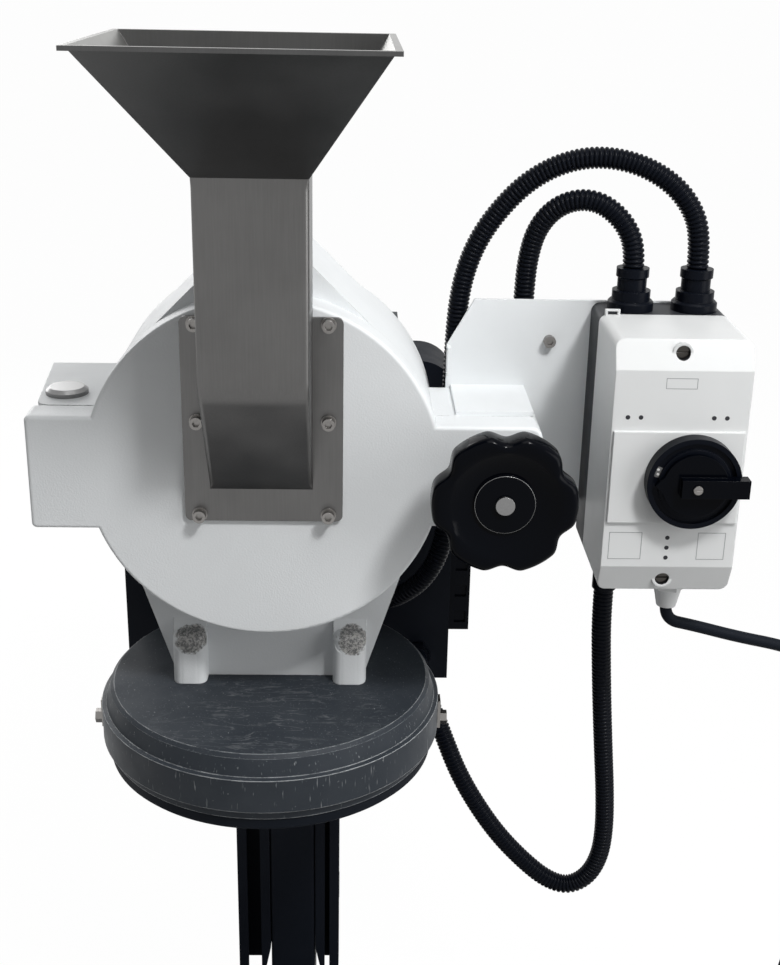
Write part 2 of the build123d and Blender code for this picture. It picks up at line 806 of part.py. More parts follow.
with BuildPart() as fan:
    fan_back = shaft_tail - 4
    with BuildSketch(facing_front(fan_back)):
        Circle(24)
        with PolarLocations(0, fan_blades):
            with Locations((fan_r / 2, 0)):
                Rectangle(fan_r, 3)
        Circle(shaft_nose_r + running_gap, mode=Mode.SUBTRACT)
    extrude(amount=fan_len)
    with BuildSketch(facing_front(fan_back - fan_len + 3)):
        Circle(fan_r)
        Circle(shaft_nose_r + running_gap, mode=Mode.SUBTRACT)
    extrude(amount=3)
fan.part.label = "fan"
export_step(fan.part, "parts/fan.step")

# ================================================================ door
with BuildPart() as door:
    with BuildSketch(facing_front(door_back)):
        Circle(door_r)
        with BuildLine():
            Polyline(
                (block_left, block_up), (0, block_up), (0, block_down), (block_left, block_down),
                close=True,
            )
        make_face()
        with BuildLine():
            Polyline((0, lug_up), (lug_right, lug_up), (lug_right, lug_down), (0, lug_down), close=True)
        make_face()
    extrude(amount=door_t)
    fillet(door.edges().filter_by(Axis.Y).filter_by(
        lambda e: e.center().X > lug_right - 1), lug_corner)
    fillet(door.edges().filter_by(Axis.Y).filter_by(
        lambda e: e.center().X < block_left + 1), door_edge + 1)
    fillet(door.faces().filter_by(Axis.Y).sort_by(Axis.Y)[0].outer_wire().edges(), door_edge)
    # knuckle and its web
    with BuildSketch(facing_up(axis_z + knuckle_down, pin_x, pin_y)):
        Circle(knuckle_r)
    extrude(amount=knuckle_up - knuckle_down)
    with BuildSketch(facing_up(axis_z + knuckle_down)):
        with BuildLine():
            Polyline((web_left, door_back - 1), (web_right, door_back - 1), (web_right, pin_y),
                     (web_left, pin_y), close=True)
        make_face()
    extrude(amount=knuckle_up - knuckle_down)
    with Locations((pin_x, pin_y, axis_z + knuckle_up)):
        Hole(pin_r + bush_wall, knuckle_up - knuckle_down)
    # feed hole, spindle hole, gasket groove
    with BuildSketch(facing_front(door_back, 0, (feed_up + feed_down) / 2)):
        Rectangle(feed_w, feed_up - feed_down)
    extrude(amount=door_t, mode=Mode.SUBTRACT)
    with BuildSketch(facing_front(door_back, knob_x, knob_up)):
        Circle(spindle_hole_r)
    extrude(amount=door_t, mode=Mode.SUBTRACT)
    with BuildSketch(facing_front(door_back)):
        Circle(gasket_r + gasket_w / 2)
        Circle(gasket_r - gasket_w / 2, mode=Mode.SUBTRACT)
    extrude(amount=gasket_depth, mode=Mode.SUBTRACT)
    with BuildSketch(facing_front(door_front + 12)):
        with GridLocations(plate_screw_dx, plate_screw_dz, 2, 3):
            with Locations((0, plate_up)):
                Circle(m6_r)
    extrude(amount=12, mode=Mode.SUBTRACT)
door.part.label = "door"
export_step(door.part, "parts/door.step")

with BuildPart() as door_gasket:
    with BuildSketch(facing_front(door_back)):
        Circle(gasket_r + gasket_w / 2 - seat_gap)
        Circle(gasket_r - gasket_w / 2 + seat_gap, mode=Mode.SUBTRACT)
    extrude(amount=gasket_depth)
door_gasket.part.label = "door_gasket"
export_step(door_gasket.part, "parts/door_gasket.step")

with BuildPart() as door_liner:
    with BuildSketch(facing_front(door_back + liner_t)):
        Circle(liner_r)
        with Locations((0, (feed_up + feed_down) / 2)):
            Rectangle(feed_w, feed_up - feed_down, mode=Mode.SUBTRACT)
    extrude(amount=liner_t)
door_liner.part.label = "door_liner"
export_step(door_liner.part, "parts/door_liner.step")

with BuildPart() as hinge_bushes:
    bush_len = (knuckle_up - knuckle_down) / 2 - 2
    for bottom in (knuckle_down, knuckle_up - bush_len):
        with BuildSketch(facing_up(axis_z + bottom, pin_x, pin_y)):
            Circle(pin_r + bush_wall - running_gap)
            Circle(pin_r + running_gap, mode=Mode.SUBTRACT)
        extrude(amount=bush_len)
hinge_bushes.part.label = "hinge_bushes"
export_step(hinge_bushes.part, "parts/hinge_bushes.step")

with BuildPart() as hinge_pin:
    with BuildSketch(facing_up(axis_z + block_down, pin_x, pin_y)):
        Circle(pin_r)
    extrude(amount=block_up - block_down)
    with BuildSketch(facing_up(axis_z + block_up, pin_x, pin_y)):
        Circle(pin_base_r)
    extrude(amount=pin_head_h)
    chamfer(hinge_pin.faces().sort_by(Axis.Z)[-1].edges(), pin_base_r - pin_head_r,
            pin_head_h / 2)
hinge_pin.part.label = "hinge_pin"
export_step(hinge_pin.part, "parts/hinge_pin.step")

# ================================================================ feed plate, chute, hopper
with BuildPart() as chute_plate:
    with BuildSketch(facing_front(door_front, 0, plate_up)):
        RectangleRounded(plate_w, plate_h, plate_corner)
        with Locations((0, (feed_up + feed_down) / 2 - plate_up)):
            Rectangle(feed_w, feed_up - feed_down, mode=Mode.SUBTRACT)
        with GridLocations(plate_screw_dx, plate_screw_dz, 2, 3):
            Circle(m6_r + seat_gap, mode=Mode.SUBTRACT)
    extrude(amount=plate_t)
chute_plate.part.label = "chute_plate"
export_step(chute_plate.part, "parts/chute_plate.step")

with BuildPart() as plate_washers:
    with BuildSketch(facing_front(plate_front, 0, plate_up)):
        with GridLocations(plate_screw_dx, plate_screw_dz, 2, 3):
            Circle(m6_washer_r)
            Circle(m6_r + seat_gap, mode=Mode.SUBTRACT)
    extrude(amount=m6_washer_t)
plate_washers.part.label = "plate_washers"
export_step(plate_washers.part, "parts/plate_washers.step")

with BuildPart() as plate_screws:
    washer_front = plate_front - m6_washer_t
    with BuildSketch(facing_front(washer_front, 0, plate_up)):
        with GridLocations(plate_screw_dx, plate_screw_dz, 2, 3):
            Circle(m6_head_r)
    extrude(amount=m6_head_h)
    with BuildSketch(facing_front(washer_front - m6_head_h + 3, 0, plate_up)):
        with GridLocations(plate_screw_dx, plate_screw_dz, 2, 3):
            RegularPolygon(m6_socket_r, 6)
    extrude(amount=3, mode=Mode.SUBTRACT)
    with BuildSketch(facing_front(washer_front, 0, plate_up)):
        with GridLocations(plate_screw_dx, plate_screw_dz, 2, 3):
            Circle(m6_r)
    extrude(amount=-(washer_front * -1 + door_front + 10))
plate_screws.part.label = "plate_screws"
export_step(plate_screws.part, "parts/plate_screws.step")

with BuildPart() as chute:
    chute_front = plate_front - sheet_t - chute_d
    with BuildSketch(facing_right(chute_x - chute_w / 2)):
        with BuildLine():
            Polyline(
                (chute_front, chute_top), (chute_front, chute_bend), (plate_front, chute_toe),
                (plate_front, chute_top), close=True,
            )
        make_face()
    extrude(amount=chute_w)
    with BuildSketch(facing_right(chute_x - chute_w / 2 + sheet_t)):
        with BuildLine():
            Polyline(
                (chute_front + sheet_t, chute_top), (chute_front + sheet_t, chute_bend + 0.4),
                (plate_front - sheet_t, chute_toe + 3.9), (plate_front - sheet_t, chute_top), close=True,
            )
        make_face()
    extrude(amount=chute_w - 2 * sheet_t, mode=Mode.SUBTRACT)
    with BuildSketch(facing_front(plate_front, 0, (feed_up + feed_down) / 2)):
        Rectangle(feed_w, feed_up - feed_down)
    extrude(amount=sheet_t, mode=Mode.SUBTRACT)
chute.part.label = "chute"
export_step(chute.part, "parts/chute.step")

with BuildPart() as hopper:
    chute_mid_y = chute_front + (chute_d + sheet_t) / 2
    rim_back = plate_front + 2.5
    rim_mid_y = rim_back - hopper_d / 2
    bottom = facing_up(axis_z + chute_top, chute_x, chute_mid_y)
    top = facing_up(axis_z + chute_top + hopper_rise, chute_x, rim_mid_y)
    with BuildSketch(bottom):
        Rectangle(chute_w, chute_d + sheet_t)
    with BuildSketch(top):
        Rectangle(hopper_w - 2 * rim_t, hopper_d - 2 * rim_t)
    loft()
    with BuildSketch(facing_up(axis_z + chute_top + hopper_rise - rim_h, chute_x, rim_mid_y)):
        Rectangle(hopper_w, hopper_d)
    extrude(amount=rim_h)
    with BuildSketch(bottom):
        Rectangle(chute_w - 2 * sheet_t, chute_d + sheet_t - 2 * sheet_t)
    with BuildSketch(top):
        Rectangle(hopper_w - 2 * rim_t - 2 * sheet_t, hopper_d - 2 * rim_t - 2 * sheet_t)
    loft(mode=Mode.SUBTRACT)
hopper.part.label = "hopper"
export_step(hopper.part, "parts/hopper.step")

# ================================================================ star knob
with BuildPart() as thrust_washer:
    with BuildSketch(facing_front(door_front, knob_x, knob_up)):
        Circle(washer_r)
        Circle(spindle_r + running_gap, mode=Mode.SUBTRACT)
    extrude(amount=washer_t)
thrust_washer.part.label = "thrust_washer"
export_step(thrust_washer.part, "parts/thrust_washer.step")

with BuildPart() as star_knob:
    with BuildSketch(facing_front(knob_front + knob_rim_t, knob_x, knob_up)):
        Circle(knob_r)
        with PolarLocations(knob_scallop_at, knob_lobes, start_angle=30):
            Circle(knob_scallop_r, mode=Mode.SUBTRACT)
    extrude(amount=knob_rim_t)
    fillet(star_knob.edges().group_by(Axis.Y)[0], 5)
    with BuildSketch(Plane(origin=(knob_x, 0, axis_z + knob_up), x_dir=(1, 0, 0), z_dir=(0, 0, 1))):
        with BuildLine():
            Polyline(
                (0, knob_back), (knob_hub_r, knob_back), (knob_hub_r + 2, knob_back - 6),
                (knob_dish_r, knob_front + knob_rim_t), (0, knob_front + knob_rim_t), close=True,
            )
        make_face()
    revolve(axis=Axis((knob_x, 0, axis_z + knob_up), (0, 1, 0)))
    with BuildSketch(Plane(origin=(knob_x, 0, axis_z + knob_up), x_dir=(1, 0, 0), z_dir=(0, 0, 1))):
        with BuildLine():
            Polyline(
                (0, knob_front - 1), (knob_dish_r, knob_front - 1), (knob_dish_r, knob_front),
                (hub_disc_r + 2, knob_front + knob_dish_depth), (0, knob_front + knob_dish_depth),
                close=True,
            )
        make_face()
    revolve(axis=Axis((knob_x, 0, axis_z + knob_up), (0, 1, 0)), mode=Mode.SUBTRACT)
    with BuildSketch(facing_front(knob_back, knob_x, knob_up)):
        Circle(spindle_r + seat_gap)
    extrude(amount=knob_len, mode=Mode.SUBTRACT)
star_knob.part.label = "star_knob"
export_step(star_knob.part, "parts/star_knob.step")

with BuildPart() as knob_spindle:
    disc_back = knob_front + knob_dish_depth
    with BuildSketch(facing_front(disc_back, knob_x, knob_up)):
        Circle(hub_disc_r)
    extrude(amount=hub_disc_t)
    with BuildSketch(facing_front(disc_back, knob_x, knob_up)):
        Circle(spindle_end_r)
    extrude(amount=hub_disc_t + 3)
    with BuildSketch(facing_front(door_back + spindle_grip, knob_x, knob_up)):
        Circle(spindle_r)
    extrude(amount=door_back + spindle_grip - disc_back)
knob_spindle.part.label = "knob_spindle"
export_step(knob_spindle.part, "parts/knob_spindle.step")

# ================================================================ bracket and shelf
with BuildPart() as bracket:
    with BuildSketch(facing_front(lock_lug_back + bracket_t)):
        with BuildLine():
            Polyline(
                (bracket_left, bracket_down), (bracket_left, bracket_cut_up),
                (bracket_left + bracket_cut, bracket_up), (bracket_right, bracket_up),
                (bracket_right, bracket_down), close=True,
            )
        make_face()
        with Locations((232.5, 82), (164, 24), (164, -30)):
            Circle(m6_r + seat_gap, mode=Mode.SUBTRACT)
        with Locations((knob_x, knob_up)):
            Circle(spindle_hole_r + 2, mode=Mode.SUBTRACT)
    extrude(amount=bracket_t)
    with BuildSketch(facing_front(lock_lug_back)):
        with BuildLine():
            Polyline(
                (bracket_left, flange_down), (bracket_left, bracket_cut_up),
                (bracket_left + bracket_t, bracket_cut_up), (bracket_left + bracket_t, flange_down),
                close=True,
            )
        make_face()
    extrude(amount=flange_d)
bracket.part.label = "bracket"
export_step(bracket.part, "parts/bracket.step")

with BuildPart() as shelf_plate:
    shelf_mid_y = (door_back + 2 + lock_lug_back) / 2
    with BuildSketch(facing_up(axis_z + lug_up, (shelf_left + shelf_right) / 2, shelf_mid_y)):
        Rectangle(shelf_right - shelf_left, lock_lug_back - door_back - 2)
    extrude(amount=shelf_t)
shelf_plate.part.label = "shelf_plate"
export_step(shelf_plate.part, "parts/shelf_plate.step")

with BuildPart() as bracket_screws:
    with BuildSketch(facing_front(lock_lug_back, 232.5, 82)):
        Circle(m6_head_r)
    extrude(amount=m6_head_h)
    with BuildSketch(facing_front(lock_lug_back - m6_head_h + 3, 232.5, 82)):
        RegularPolygon(m6_socket_r, 6)
    extrude(amount=3, mode=Mode.SUBTRACT)
    with BuildSketch(facing_front(lock_lug_back + bracket_t + 6, 232.5, 82)):
        Circle(m6_r)
    extrude(amount=bracket_t + 6)
    with BuildSketch(facing_front(lock_lug_back + bracket_t + m6_head_h)):
        with Locations((164, 24), (164, -30)):
            Circle(m6_head_r)
    extrude(amount=m6_head_h)
    with BuildSketch(facing_front(lock_lug_back + bracket_t)):
        with Locations((164, 24), (164, -30)):
            Circle(m6_r)
    extrude(amount=bracket_t)
bracket_screws.part.label = "bracket_screws"
export_step(bracket_screws.part, "parts/bracket_screws.step")

with BuildPart() as safety_switch:
    with BuildSketch(facing_up(axis_z + safety_up - safety_h, safety_x + 8, safety_y)):
        RectangleRounded(safety_w, safety_d, 3)
    extrude(amount=safety_h)
    with BuildSketch(facing_up(axis_z + safety_up, safety_x, safety_y)):
        Circle(12)
    extrude(amount=safety_neck_h)
safety_switch.part.label = "safety_switch"
export_step(safety_switch.part, "parts/safety_switch.step")

# ================================================================ control box
box_x = (box_left + box_right) / 2
box_w = box_right - box_left
box_mid_up = (box_up + box_down) / 2
with BuildPart() as switch_base:
    with BuildSketch(facing_front(box_back, box_x, box_mid_up)):
        RectangleRounded(box_w, box_up - box_down, box_corner)
    extrude(amount=box_back - box_base_front)
    with BuildSketch(facing_front(box_back - box_wall, box_x, box_mid_up)):
        RectangleRounded(box_w - 2 * box_wall, box_up - box_down - 2 * box_wall, box_corner - box_wall)
    extrude(amount=box_back - box_wall - box_base_front, mode=Mode.SUBTRACT)
switch_base.part.label = "switch_base"
export_step(switch_base.part, "parts/switch_base.step")

with BuildPart() as switch_cover:
    with BuildSketch(facing_right(box_left)):
        with BuildLine():
            Polyline(
                (box_base_front, box_up), (cover_top_front, box_up), (cover_front, cover_slope_up),
                (cover_front, cover_slope_down), (cover_top_front, box_down),
                (box_base_front, box_down), close=True,
            )
        make_face()
    extrude(amount=box_w)
    fillet(switch_cover.edges().filter_by(Axis.Y), box_corner)
    with BuildSketch(facing_front(cover_front, box_x, (panel_up + panel_down) / 2)):
        Rectangle(box_w - 4, panel_up - panel_down)
    extrude(amount=panel_raise)
    with BuildSketch(facing_right(box_left + box_wall)):
        with BuildLine():
            Polyline(
                (box_base_front, box_up - box_wall), (cover_top_front + 1, box_up - box_wall),
                (cover_front + box_wall, cover_slope_up - 2), (cover_front + box_wall, cover_slope_down + 2),
                (cover_top_front + 1, box_down + box_wall), (box_base_front, box_down + box_wall), close=True,
            )
        make_face()
    extrude(amount=box_w - 2 * box_wall, mode=Mode.SUBTRACT)
    with BuildSketch(facing_front(cover_front + box_wall, switch_x, switch_up)):
        Circle(handle_shaft_r + running_gap)
    extrude(amount=box_wall + panel_raise, mode=Mode.SUBTRACT)
    for screw_up in cover_screw_ups:
        with BuildSketch(facing_front(cover_screw_seat + 5, cover_screw_x, screw_up)):
            Circle(cover_screw_r + 3)
        extrude(amount=cover_screw_depth + 5)
        with BuildSketch(facing_front(cover_screw_seat, cover_screw_x, screw_up)):
            Circle(cover_screw_r + 0.5)
        extrude(amount=20, mode=Mode.SUBTRACT)
switch_cover.part.label = "switch_cover"
export_step(switch_cover.part, "parts/switch_cover.step")

with BuildPart() as cover_screws:
    for screw_up in cover_screw_ups:
        with BuildSketch(facing_front(cover_screw_seat, cover_screw_x, screw_up)):
            Circle(cover_screw_r)
        extrude(amount=3)
        with BuildSketch(facing_front(cover_screw_seat - 1.5, cover_screw_x, screw_up)):
            Rectangle(cover_screw_r * 2, 1.2)
        extrude(amount=2, mode=Mode.SUBTRACT)
cover_screws.part.label = "cover_screws"
export_step(cover_screws.part, "parts/cover_screws.step")

with BuildPart() as switch_plate:
    with BuildSketch(facing_front(cover_front - panel_raise, switch_x, switch_up)):
        Circle(dial_r)
        Circle(handle_shaft_r + running_gap, mode=Mode.SUBTRACT)
    extrude(amount=dial_t)
    with BuildSketch(facing_front(dial_front + 2.5, switch_x, switch_up)):
        Circle(dial_r - 4)
        Circle(handle_r + 3, mode=Mode.SUBTRACT)
    extrude(amount=2.5, mode=Mode.SUBTRACT)
switch_plate.part.label = "switch_plate"
export_step(switch_plate.part, "parts/switch_plate.step")

with BuildPart() as switch_handle:
    with BuildSketch(facing_front(dial_front - moving_gap, switch_x, switch_up)):
        Circle(handle_r)
        with BuildLine():
            Polyline((-8, handle_r - 1), (-handle_r - 6, 0), (-8, -handle_r + 1), close=True)
        make_face()
    extrude(amount=handle_t * 0.35)
    with BuildSketch(facing_front(dial_front - moving_gap, switch_x, switch_up)):
        with Locations((handle_reach / 2 - 6, 0)):
            Rectangle(handle_reach + 12, handle_w)
    extrude(amount=handle_t)
    with BuildSketch(facing_front(dial_front - moving_gap, switch_x, switch_up)):
        Circle(handle_shaft_r)
    extrude(amount=-handle_shaft_len)
switch_handle.part.label = "switch_handle"
export_step(switch_handle.part, "parts/switch_handle.step")

with BuildPart() as handle_screw:
    with BuildSketch(facing_front(handle_front, switch_x, switch_up)):
        Circle(3.5)
    extrude(amount=1.6)
    with BuildSketch(facing_front(handle_front - 0.8, switch_x, switch_up)):
        Rectangle(8, 1)
    extrude(amount=2, mode=Mode.SUBTRACT)
handle_screw.part.label = "handle_screw"
export_step(handle_screw.part, "parts/handle_screw.step")

# ================================================================ glands
with BuildPart() as top_glands:
    for gland_x in (gland_short_x, gland_long_x):
        with BuildSketch(Plane(origin=(gland_x, gland_y, axis_z + box_up), x_dir=(1, 0, 0), z_dir=(0, -1, 0))):
            with BuildLine():
                Polyline(
                    (0, 0), (gland_flange_r, 0), (gland_flange_r, gland_flange_h - 1.5),
                    (gland_flange_r - 1.5, gland_flange_h), (gland_ring_r, gland_flange_h),
                    (gland_ring_r, gland_flange_h + gland_ring_h),
                    (gland_body_r, gland_flange_h + gland_ring_h), (gland_body_r, gland_h - 8),
                    (gland_body_r + 1.4, gland_h - 7), (gland_body_r + 1.4, gland_h), (0, gland_h),
                    close=True,
                )
            make_face()
        revolve(axis=Axis((gland_x, gland_y, 0), (0, 0, 1)))
top_glands.part.label = "top_glands"
export_step(top_glands.part, "parts/top_glands.step")

with BuildPart() as bottom_gland:
    with BuildSketch(facing_up(axis_z + box_down, gland_drop_x, gland_y)):
        Circle(gland_drop_r + 3)
    extrude(amount=-6)
    with BuildSketch(facing_up(axis_z + box_down - 6, gland_drop_x, gland_y)):
        Circle(gland_drop_r)
    extrude(amount=-(gland_drop_h - 6))
bottom_gland.part.label = "bottom_gland"
export_step(bottom_gland.part, "parts/bottom_gland.step")

with BuildPart() as mains_gland:
    with BuildSketch(facing_up(axis_z + box_down, mains_x, mains_y)):
        RegularPolygon(mains_gland_af / 2, 6, major_radius=False)
    extrude(amount=-8)
    with BuildSketch(facing_up(axis_z + box_down - 8, mains_x, mains_y)):
        Circle(mains_gland_af / 2 - 1)
    extrude(amount=-(mains_gland_h - 8), taper=12)
mains_gland.part.label = "mains_gland"
export_step(mains_gland.part, "parts/mains_gland.step")

long_end = (100.0, head_front - head_gland_h, axis_z - 180)
drop_end = (132.0, head_front - head_gland_h, axis_z - 263)
with BuildPart() as head_glands:
    for end_x, end_y, end_z in (long_end, drop_end):
        with BuildSketch(facing_front(head_front, end_x, end_z - axis_z)):
            RegularPolygon(13.5, 6, major_radius=False)
        extrude(amount=10)
        with BuildSketch(facing_front(head_front - 10, end_x, end_z - axis_z)):
            Circle(12)
        extrude(amount=head_gland_h - 10)
head_glands.part.label = "head_glands"
export_step(head_glands.part, "parts/head_glands.step")

# ================================================================ conduits
long_route = [
    (gland_long_x, gland_y, axis_z + box_up + gland_h), (gland_long_x, gland_y, 925),
    (341, 30, 948), (324, 34, 970), (297, 41, 985), (266, 48.5, 990), (237, 56, 984),
    (210, 62, 968), (188, 67, 944), (171, 70.5, 917), (161, 73, 888), (156.5, 73.5, 857),
    (155, 73.5, 817), (154, 73.5, 770), (155, 74.5, 721), (154.5, 73.5, 674), (150, 71.5, 636),
    (135, 71.5, 606), (113, 79, 586), (100, 92, 576), long_end,
]
short_route = [
    (gland_short_x, gland_y, axis_z + box_up + gland_h), (gland_short_x, gland_y, 922),
    (284.5, 31, 941), (267, 36, 955), (248, 42, 957), (230, 49, 948), (217.5, 57, 929),
    (212.5, 63.5, 903), (211.5, 66.5, 873), (safety_x, safety_y, 840),
    (safety_x, safety_y, axis_z + short_end_up),
]
drop_route = [
    (gland_drop_x, gland_y, axis_z + box_down - gland_drop_h), (gland_drop_x, gland_y, 591),
    (294, 29.5, 551), (298, 30.5, 506), (303, 31, 456), (308.5, 32.5, 406), (311, 33.5, 366),
    (309, 34.5, 334), (299, 36.5, 309), (281, 38.5, 297), (260, 41, 303), (236, 44.5, 323),
    (211, 48, 350), (189, 52, 382), (171, 57.5, 414), (158, 65, 446), (148, 74, 470),
    (138, 84, 486), (132, 97, 493), drop_end,
]
mains_route = [
    (mains_x, mains_y, axis_z + box_down - mains_gland_h), (mains_x, mains_y, 622),
    (355, -37, 617),
    (394, -37, 606.5), (433, -37, 598.5), (462, -36, 587), (486, -33, 566), (500, -28, 536),
    (507, -21, 500), (511, -12, 455), (512, -3, 405), (510.5, 7, 355), (508, 17, 305),
    (505, 26, 255), (502, 34, 205), (498, 42, 158), (493, 49, 115), (485, 56, 75), (472, 62, 42),
    (453, 66.5, 18), (427, 68, mains_r), (coil_x, coil_r + 8, mains_r),
]


def corner_radii(route):
    """Radius of each arc: 0.45 of the shorter run beside it over the tangent of half the turn."""
    points = [Vector(*p) for p in route]
    radii = []
    for before, here, after in zip(points, points[1:], points[2:]):
        run_in, run_out = here - before, after - here
        half_turn = math.radians(run_in.get_angle(run_out)) / 2
        radii.append(0.45 * min(run_in.length, run_out.length) / math.tan(half_turn))
    return radii


def smooth_path(name, route):
    """Straight runs joined by arcs; prints the radii and the length."""
    radii = corner_radii(route)
    path = FilletPolyline(*route, radius=radii)
    print(f"{name}: length {path.length:.0f}, radii", [round(r) for r in radii])
    return path


def plain_tube(name, route, radius):
    """Plain tube along a route; prints its volume against section times length."""
    path = smooth_path(name, route)
    with BuildPart() as tube:
        with BuildSketch(Plane(origin=path @ 0, z_dir=path % 0)):
            Circle(radius)
        sweep(path=path)
    ideal = math.pi * radius ** 2 * path.length
    print(f"{name}: volume {tube.part.volume:.0f}, section times length {ideal:.0f}")
    return tube.part


def ribbed_tube(name, route, ribs):
    """Corrugated hose: four circles for each rib, straight ends, and its bore."""
    path = smooth_path(name, route)
    end_run = 2 * conduit_r
    pitch = (path.length - 2 * end_run) / ribs
    stations = [(0.0, conduit_root_r)]
    for rib in range(ribs):
        start = end_run + rib * pitch
        for share, radius in ((0.08, conduit_root_r), (0.28, conduit_r), (0.62, conduit_r),
                              (0.82, conduit_root_r)):
            stations.append((start + share * pitch, radius))
    stations.append((path.length, conduit_root_r))
    step = 4 * ribs_per_loft
    with BuildPart() as hose:
        for first in range(0, len(stations) - 1, step):
            for distance, radius in stations[first:first + step + 1]:
                share = min(distance / path.length, 1.0)
                along = path % share
                steady_x = Vector(0, 1, 0) - along * along.Y
                with BuildSketch(Plane(origin=path @ share, x_dir=steady_x, z_dir=along)):
                    Circle(radius)
            loft(ruled=True)
    with BuildPart() as bore:
        with BuildSketch(Plane(origin=path @ 0, z_dir=path % 0)):
            Circle(conduit_bore_r)
        sweep(path=path)
    tube = hose.part - bore.part
    print(f"{name}: outside {hose.part.volume:.0f}, bore {bore.part.volume:.0f}, tube {tube.volume:.0f}")
    return tube


conduit_long = plain_tube("conduit_long", long_route, conduit_r)
conduit_long.label = "conduit_long"
export_step(conduit_long, "parts/conduit_long.step")

conduit_short = ribbed_tube("conduit_short", short_route, short_ribs)
conduit_short.label = "conduit_short"
export_step(conduit_short, "parts/conduit_short.step")

conduit_drop = plain_tube("conduit_drop", drop_route, conduit_r)
conduit_drop.label = "conduit_drop"
export_step(conduit_drop, "parts/conduit_drop.step")

mains_cable = plain_tube("mains_cable", mains_route, mains_r)
mains_cable.label = "mains_cable"
export_step(mains_cable, "parts/mains_cable.step")

# ================================================================ coil and plug
coil_y = mains_route[-1][1] - coil_r


def coil_stops():
    """Ends of the half turns: in on the lower layer, a climb, and out on the upper one."""
    stops = []
    reach = coil_r
    side = 1
    for _ in range(coil_half_turns_in + 1):
        stops.append(Vector(coil_x, coil_y + side * reach, mains_r))
        reach -= coil_pitch / 2
        side = -side
    for _ in range(coil_half_turns_out + 1):
        stops.append(Vector(coil_x, coil_y + side * reach, mains_r + coil_layer))
        reach += coil_reverse_step if len(stops) == coil_half_turns_in + 2 else coil_pitch / 2
        side = -side
    return stops


def half_turn(start, end, heading):
    """Two equal arcs from start to end, square to the line between their plan places."""
    middle = (start + end) / 2 + heading * ((end - start).length / 2)
    first = TangentArc(start, middle, tangent=heading)
    second = TangentArc(middle, end, tangent=first % 1)
    return first, second


stops = coil_stops()
with BuildPart() as mains_coil:
    with BuildLine() as coil_line:
        heading = Vector(-1, 0, 0)
        for start, end in zip(stops, stops[1:]):
            half_turn(start, end, heading)
            heading = -heading
        tail_end = stops[-1] + heading * coil_tail
        Line(stops[-1], tail_end)
    coil_path = coil_line.wires()[0]
    with BuildSketch(Plane(origin=coil_path @ 0, z_dir=coil_path % 0)):
        Circle(mains_r)
    sweep(path=coil_path)
mains_coil.part.label = "mains_coil"
export_step(mains_coil.part, "parts/mains_coil.step")
coil_length = coil_path.length
print(f"mains_coil: length {coil_length:.0f}, volume {mains_coil.part.volume:.0f}, "
      f"section times length {math.pi * mains_r ** 2 * coil_length:.0f}")

samples = [coil_path @ (k / 600) for k in range(601)]
spacing = coil_length / 600
skip = int(4 * mains_r / spacing) + 1
least = min((samples[i] - samples[j]).length
            for i in range(0, 601, 3) for j in range(i + skip, 601))
print(f"mains_coil: least gap to itself {least - 2 * mains_r:.2f}")

with BuildPart() as mains_plug:
    plug_start = tail_end.X
    plug_plane = Plane(origin=(tail_end.X, tail_end.Y, tail_end.Z), x_dir=(0, 0, 1), z_dir=(1, 0, 0))
    with BuildSketch(plug_plane):
        Circle(mains_r + 2)
    extrude(amount=18)
    with BuildSketch(plug_plane.offset(18)):
        Circle(plug_r)
    extrude(amount=plug_len - 18)
    with BuildSketch(plug_plane.offset(plug_len)):
        with Locations((0, plug_pin_dx / 2), (0, -plug_pin_dx / 2)):
            Circle(plug_pin_r)
    extrude(amount=plug_pin_len)
mains_plug.part.label = "mains_plug"
export_step(mains_plug.part, "parts/mains_plug.step")
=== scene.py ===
"""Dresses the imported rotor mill: camera, light, finishes, hoses, mains lead and small details.

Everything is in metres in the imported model's frame. Sizes written with MM are millimetres.
"""
import json
import math

import bmesh
import bpy
from mathutils import Matrix, Vector
from mathutils.bvhtree import BVHTree


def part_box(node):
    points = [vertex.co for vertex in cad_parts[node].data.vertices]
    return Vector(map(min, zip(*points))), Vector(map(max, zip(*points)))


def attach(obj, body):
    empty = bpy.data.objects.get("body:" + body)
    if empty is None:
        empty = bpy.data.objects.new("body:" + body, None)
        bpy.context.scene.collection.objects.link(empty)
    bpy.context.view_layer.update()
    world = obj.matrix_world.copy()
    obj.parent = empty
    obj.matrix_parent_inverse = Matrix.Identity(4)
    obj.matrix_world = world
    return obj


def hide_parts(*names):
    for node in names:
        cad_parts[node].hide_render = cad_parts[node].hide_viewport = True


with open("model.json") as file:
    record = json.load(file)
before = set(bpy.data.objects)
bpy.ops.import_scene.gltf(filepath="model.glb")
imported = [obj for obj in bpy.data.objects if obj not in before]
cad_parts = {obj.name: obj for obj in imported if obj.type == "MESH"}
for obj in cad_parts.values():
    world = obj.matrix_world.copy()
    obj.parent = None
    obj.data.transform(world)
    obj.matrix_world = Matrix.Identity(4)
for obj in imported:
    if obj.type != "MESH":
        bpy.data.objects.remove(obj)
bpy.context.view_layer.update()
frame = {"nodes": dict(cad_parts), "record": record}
nodes = frame["nodes"]
MM = 0.001

axis_z = 0.756                       # rotor axis above the floor
in_front_y = -2.0                    # well in front of everything


# ======================================================================== mesh helpers
def link(obj):
    bpy.context.scene.collection.objects.link(obj)
    return obj


def mesh_object(name, verts, faces, smooth=True):
    data = bpy.data.meshes.new(name)
    data.from_pydata([tuple(v) for v in verts], [], faces)
    data.validate()
    for polygon in data.polygons:
        polygon.use_smooth = smooth
    return link(bpy.data.objects.new(name, data))


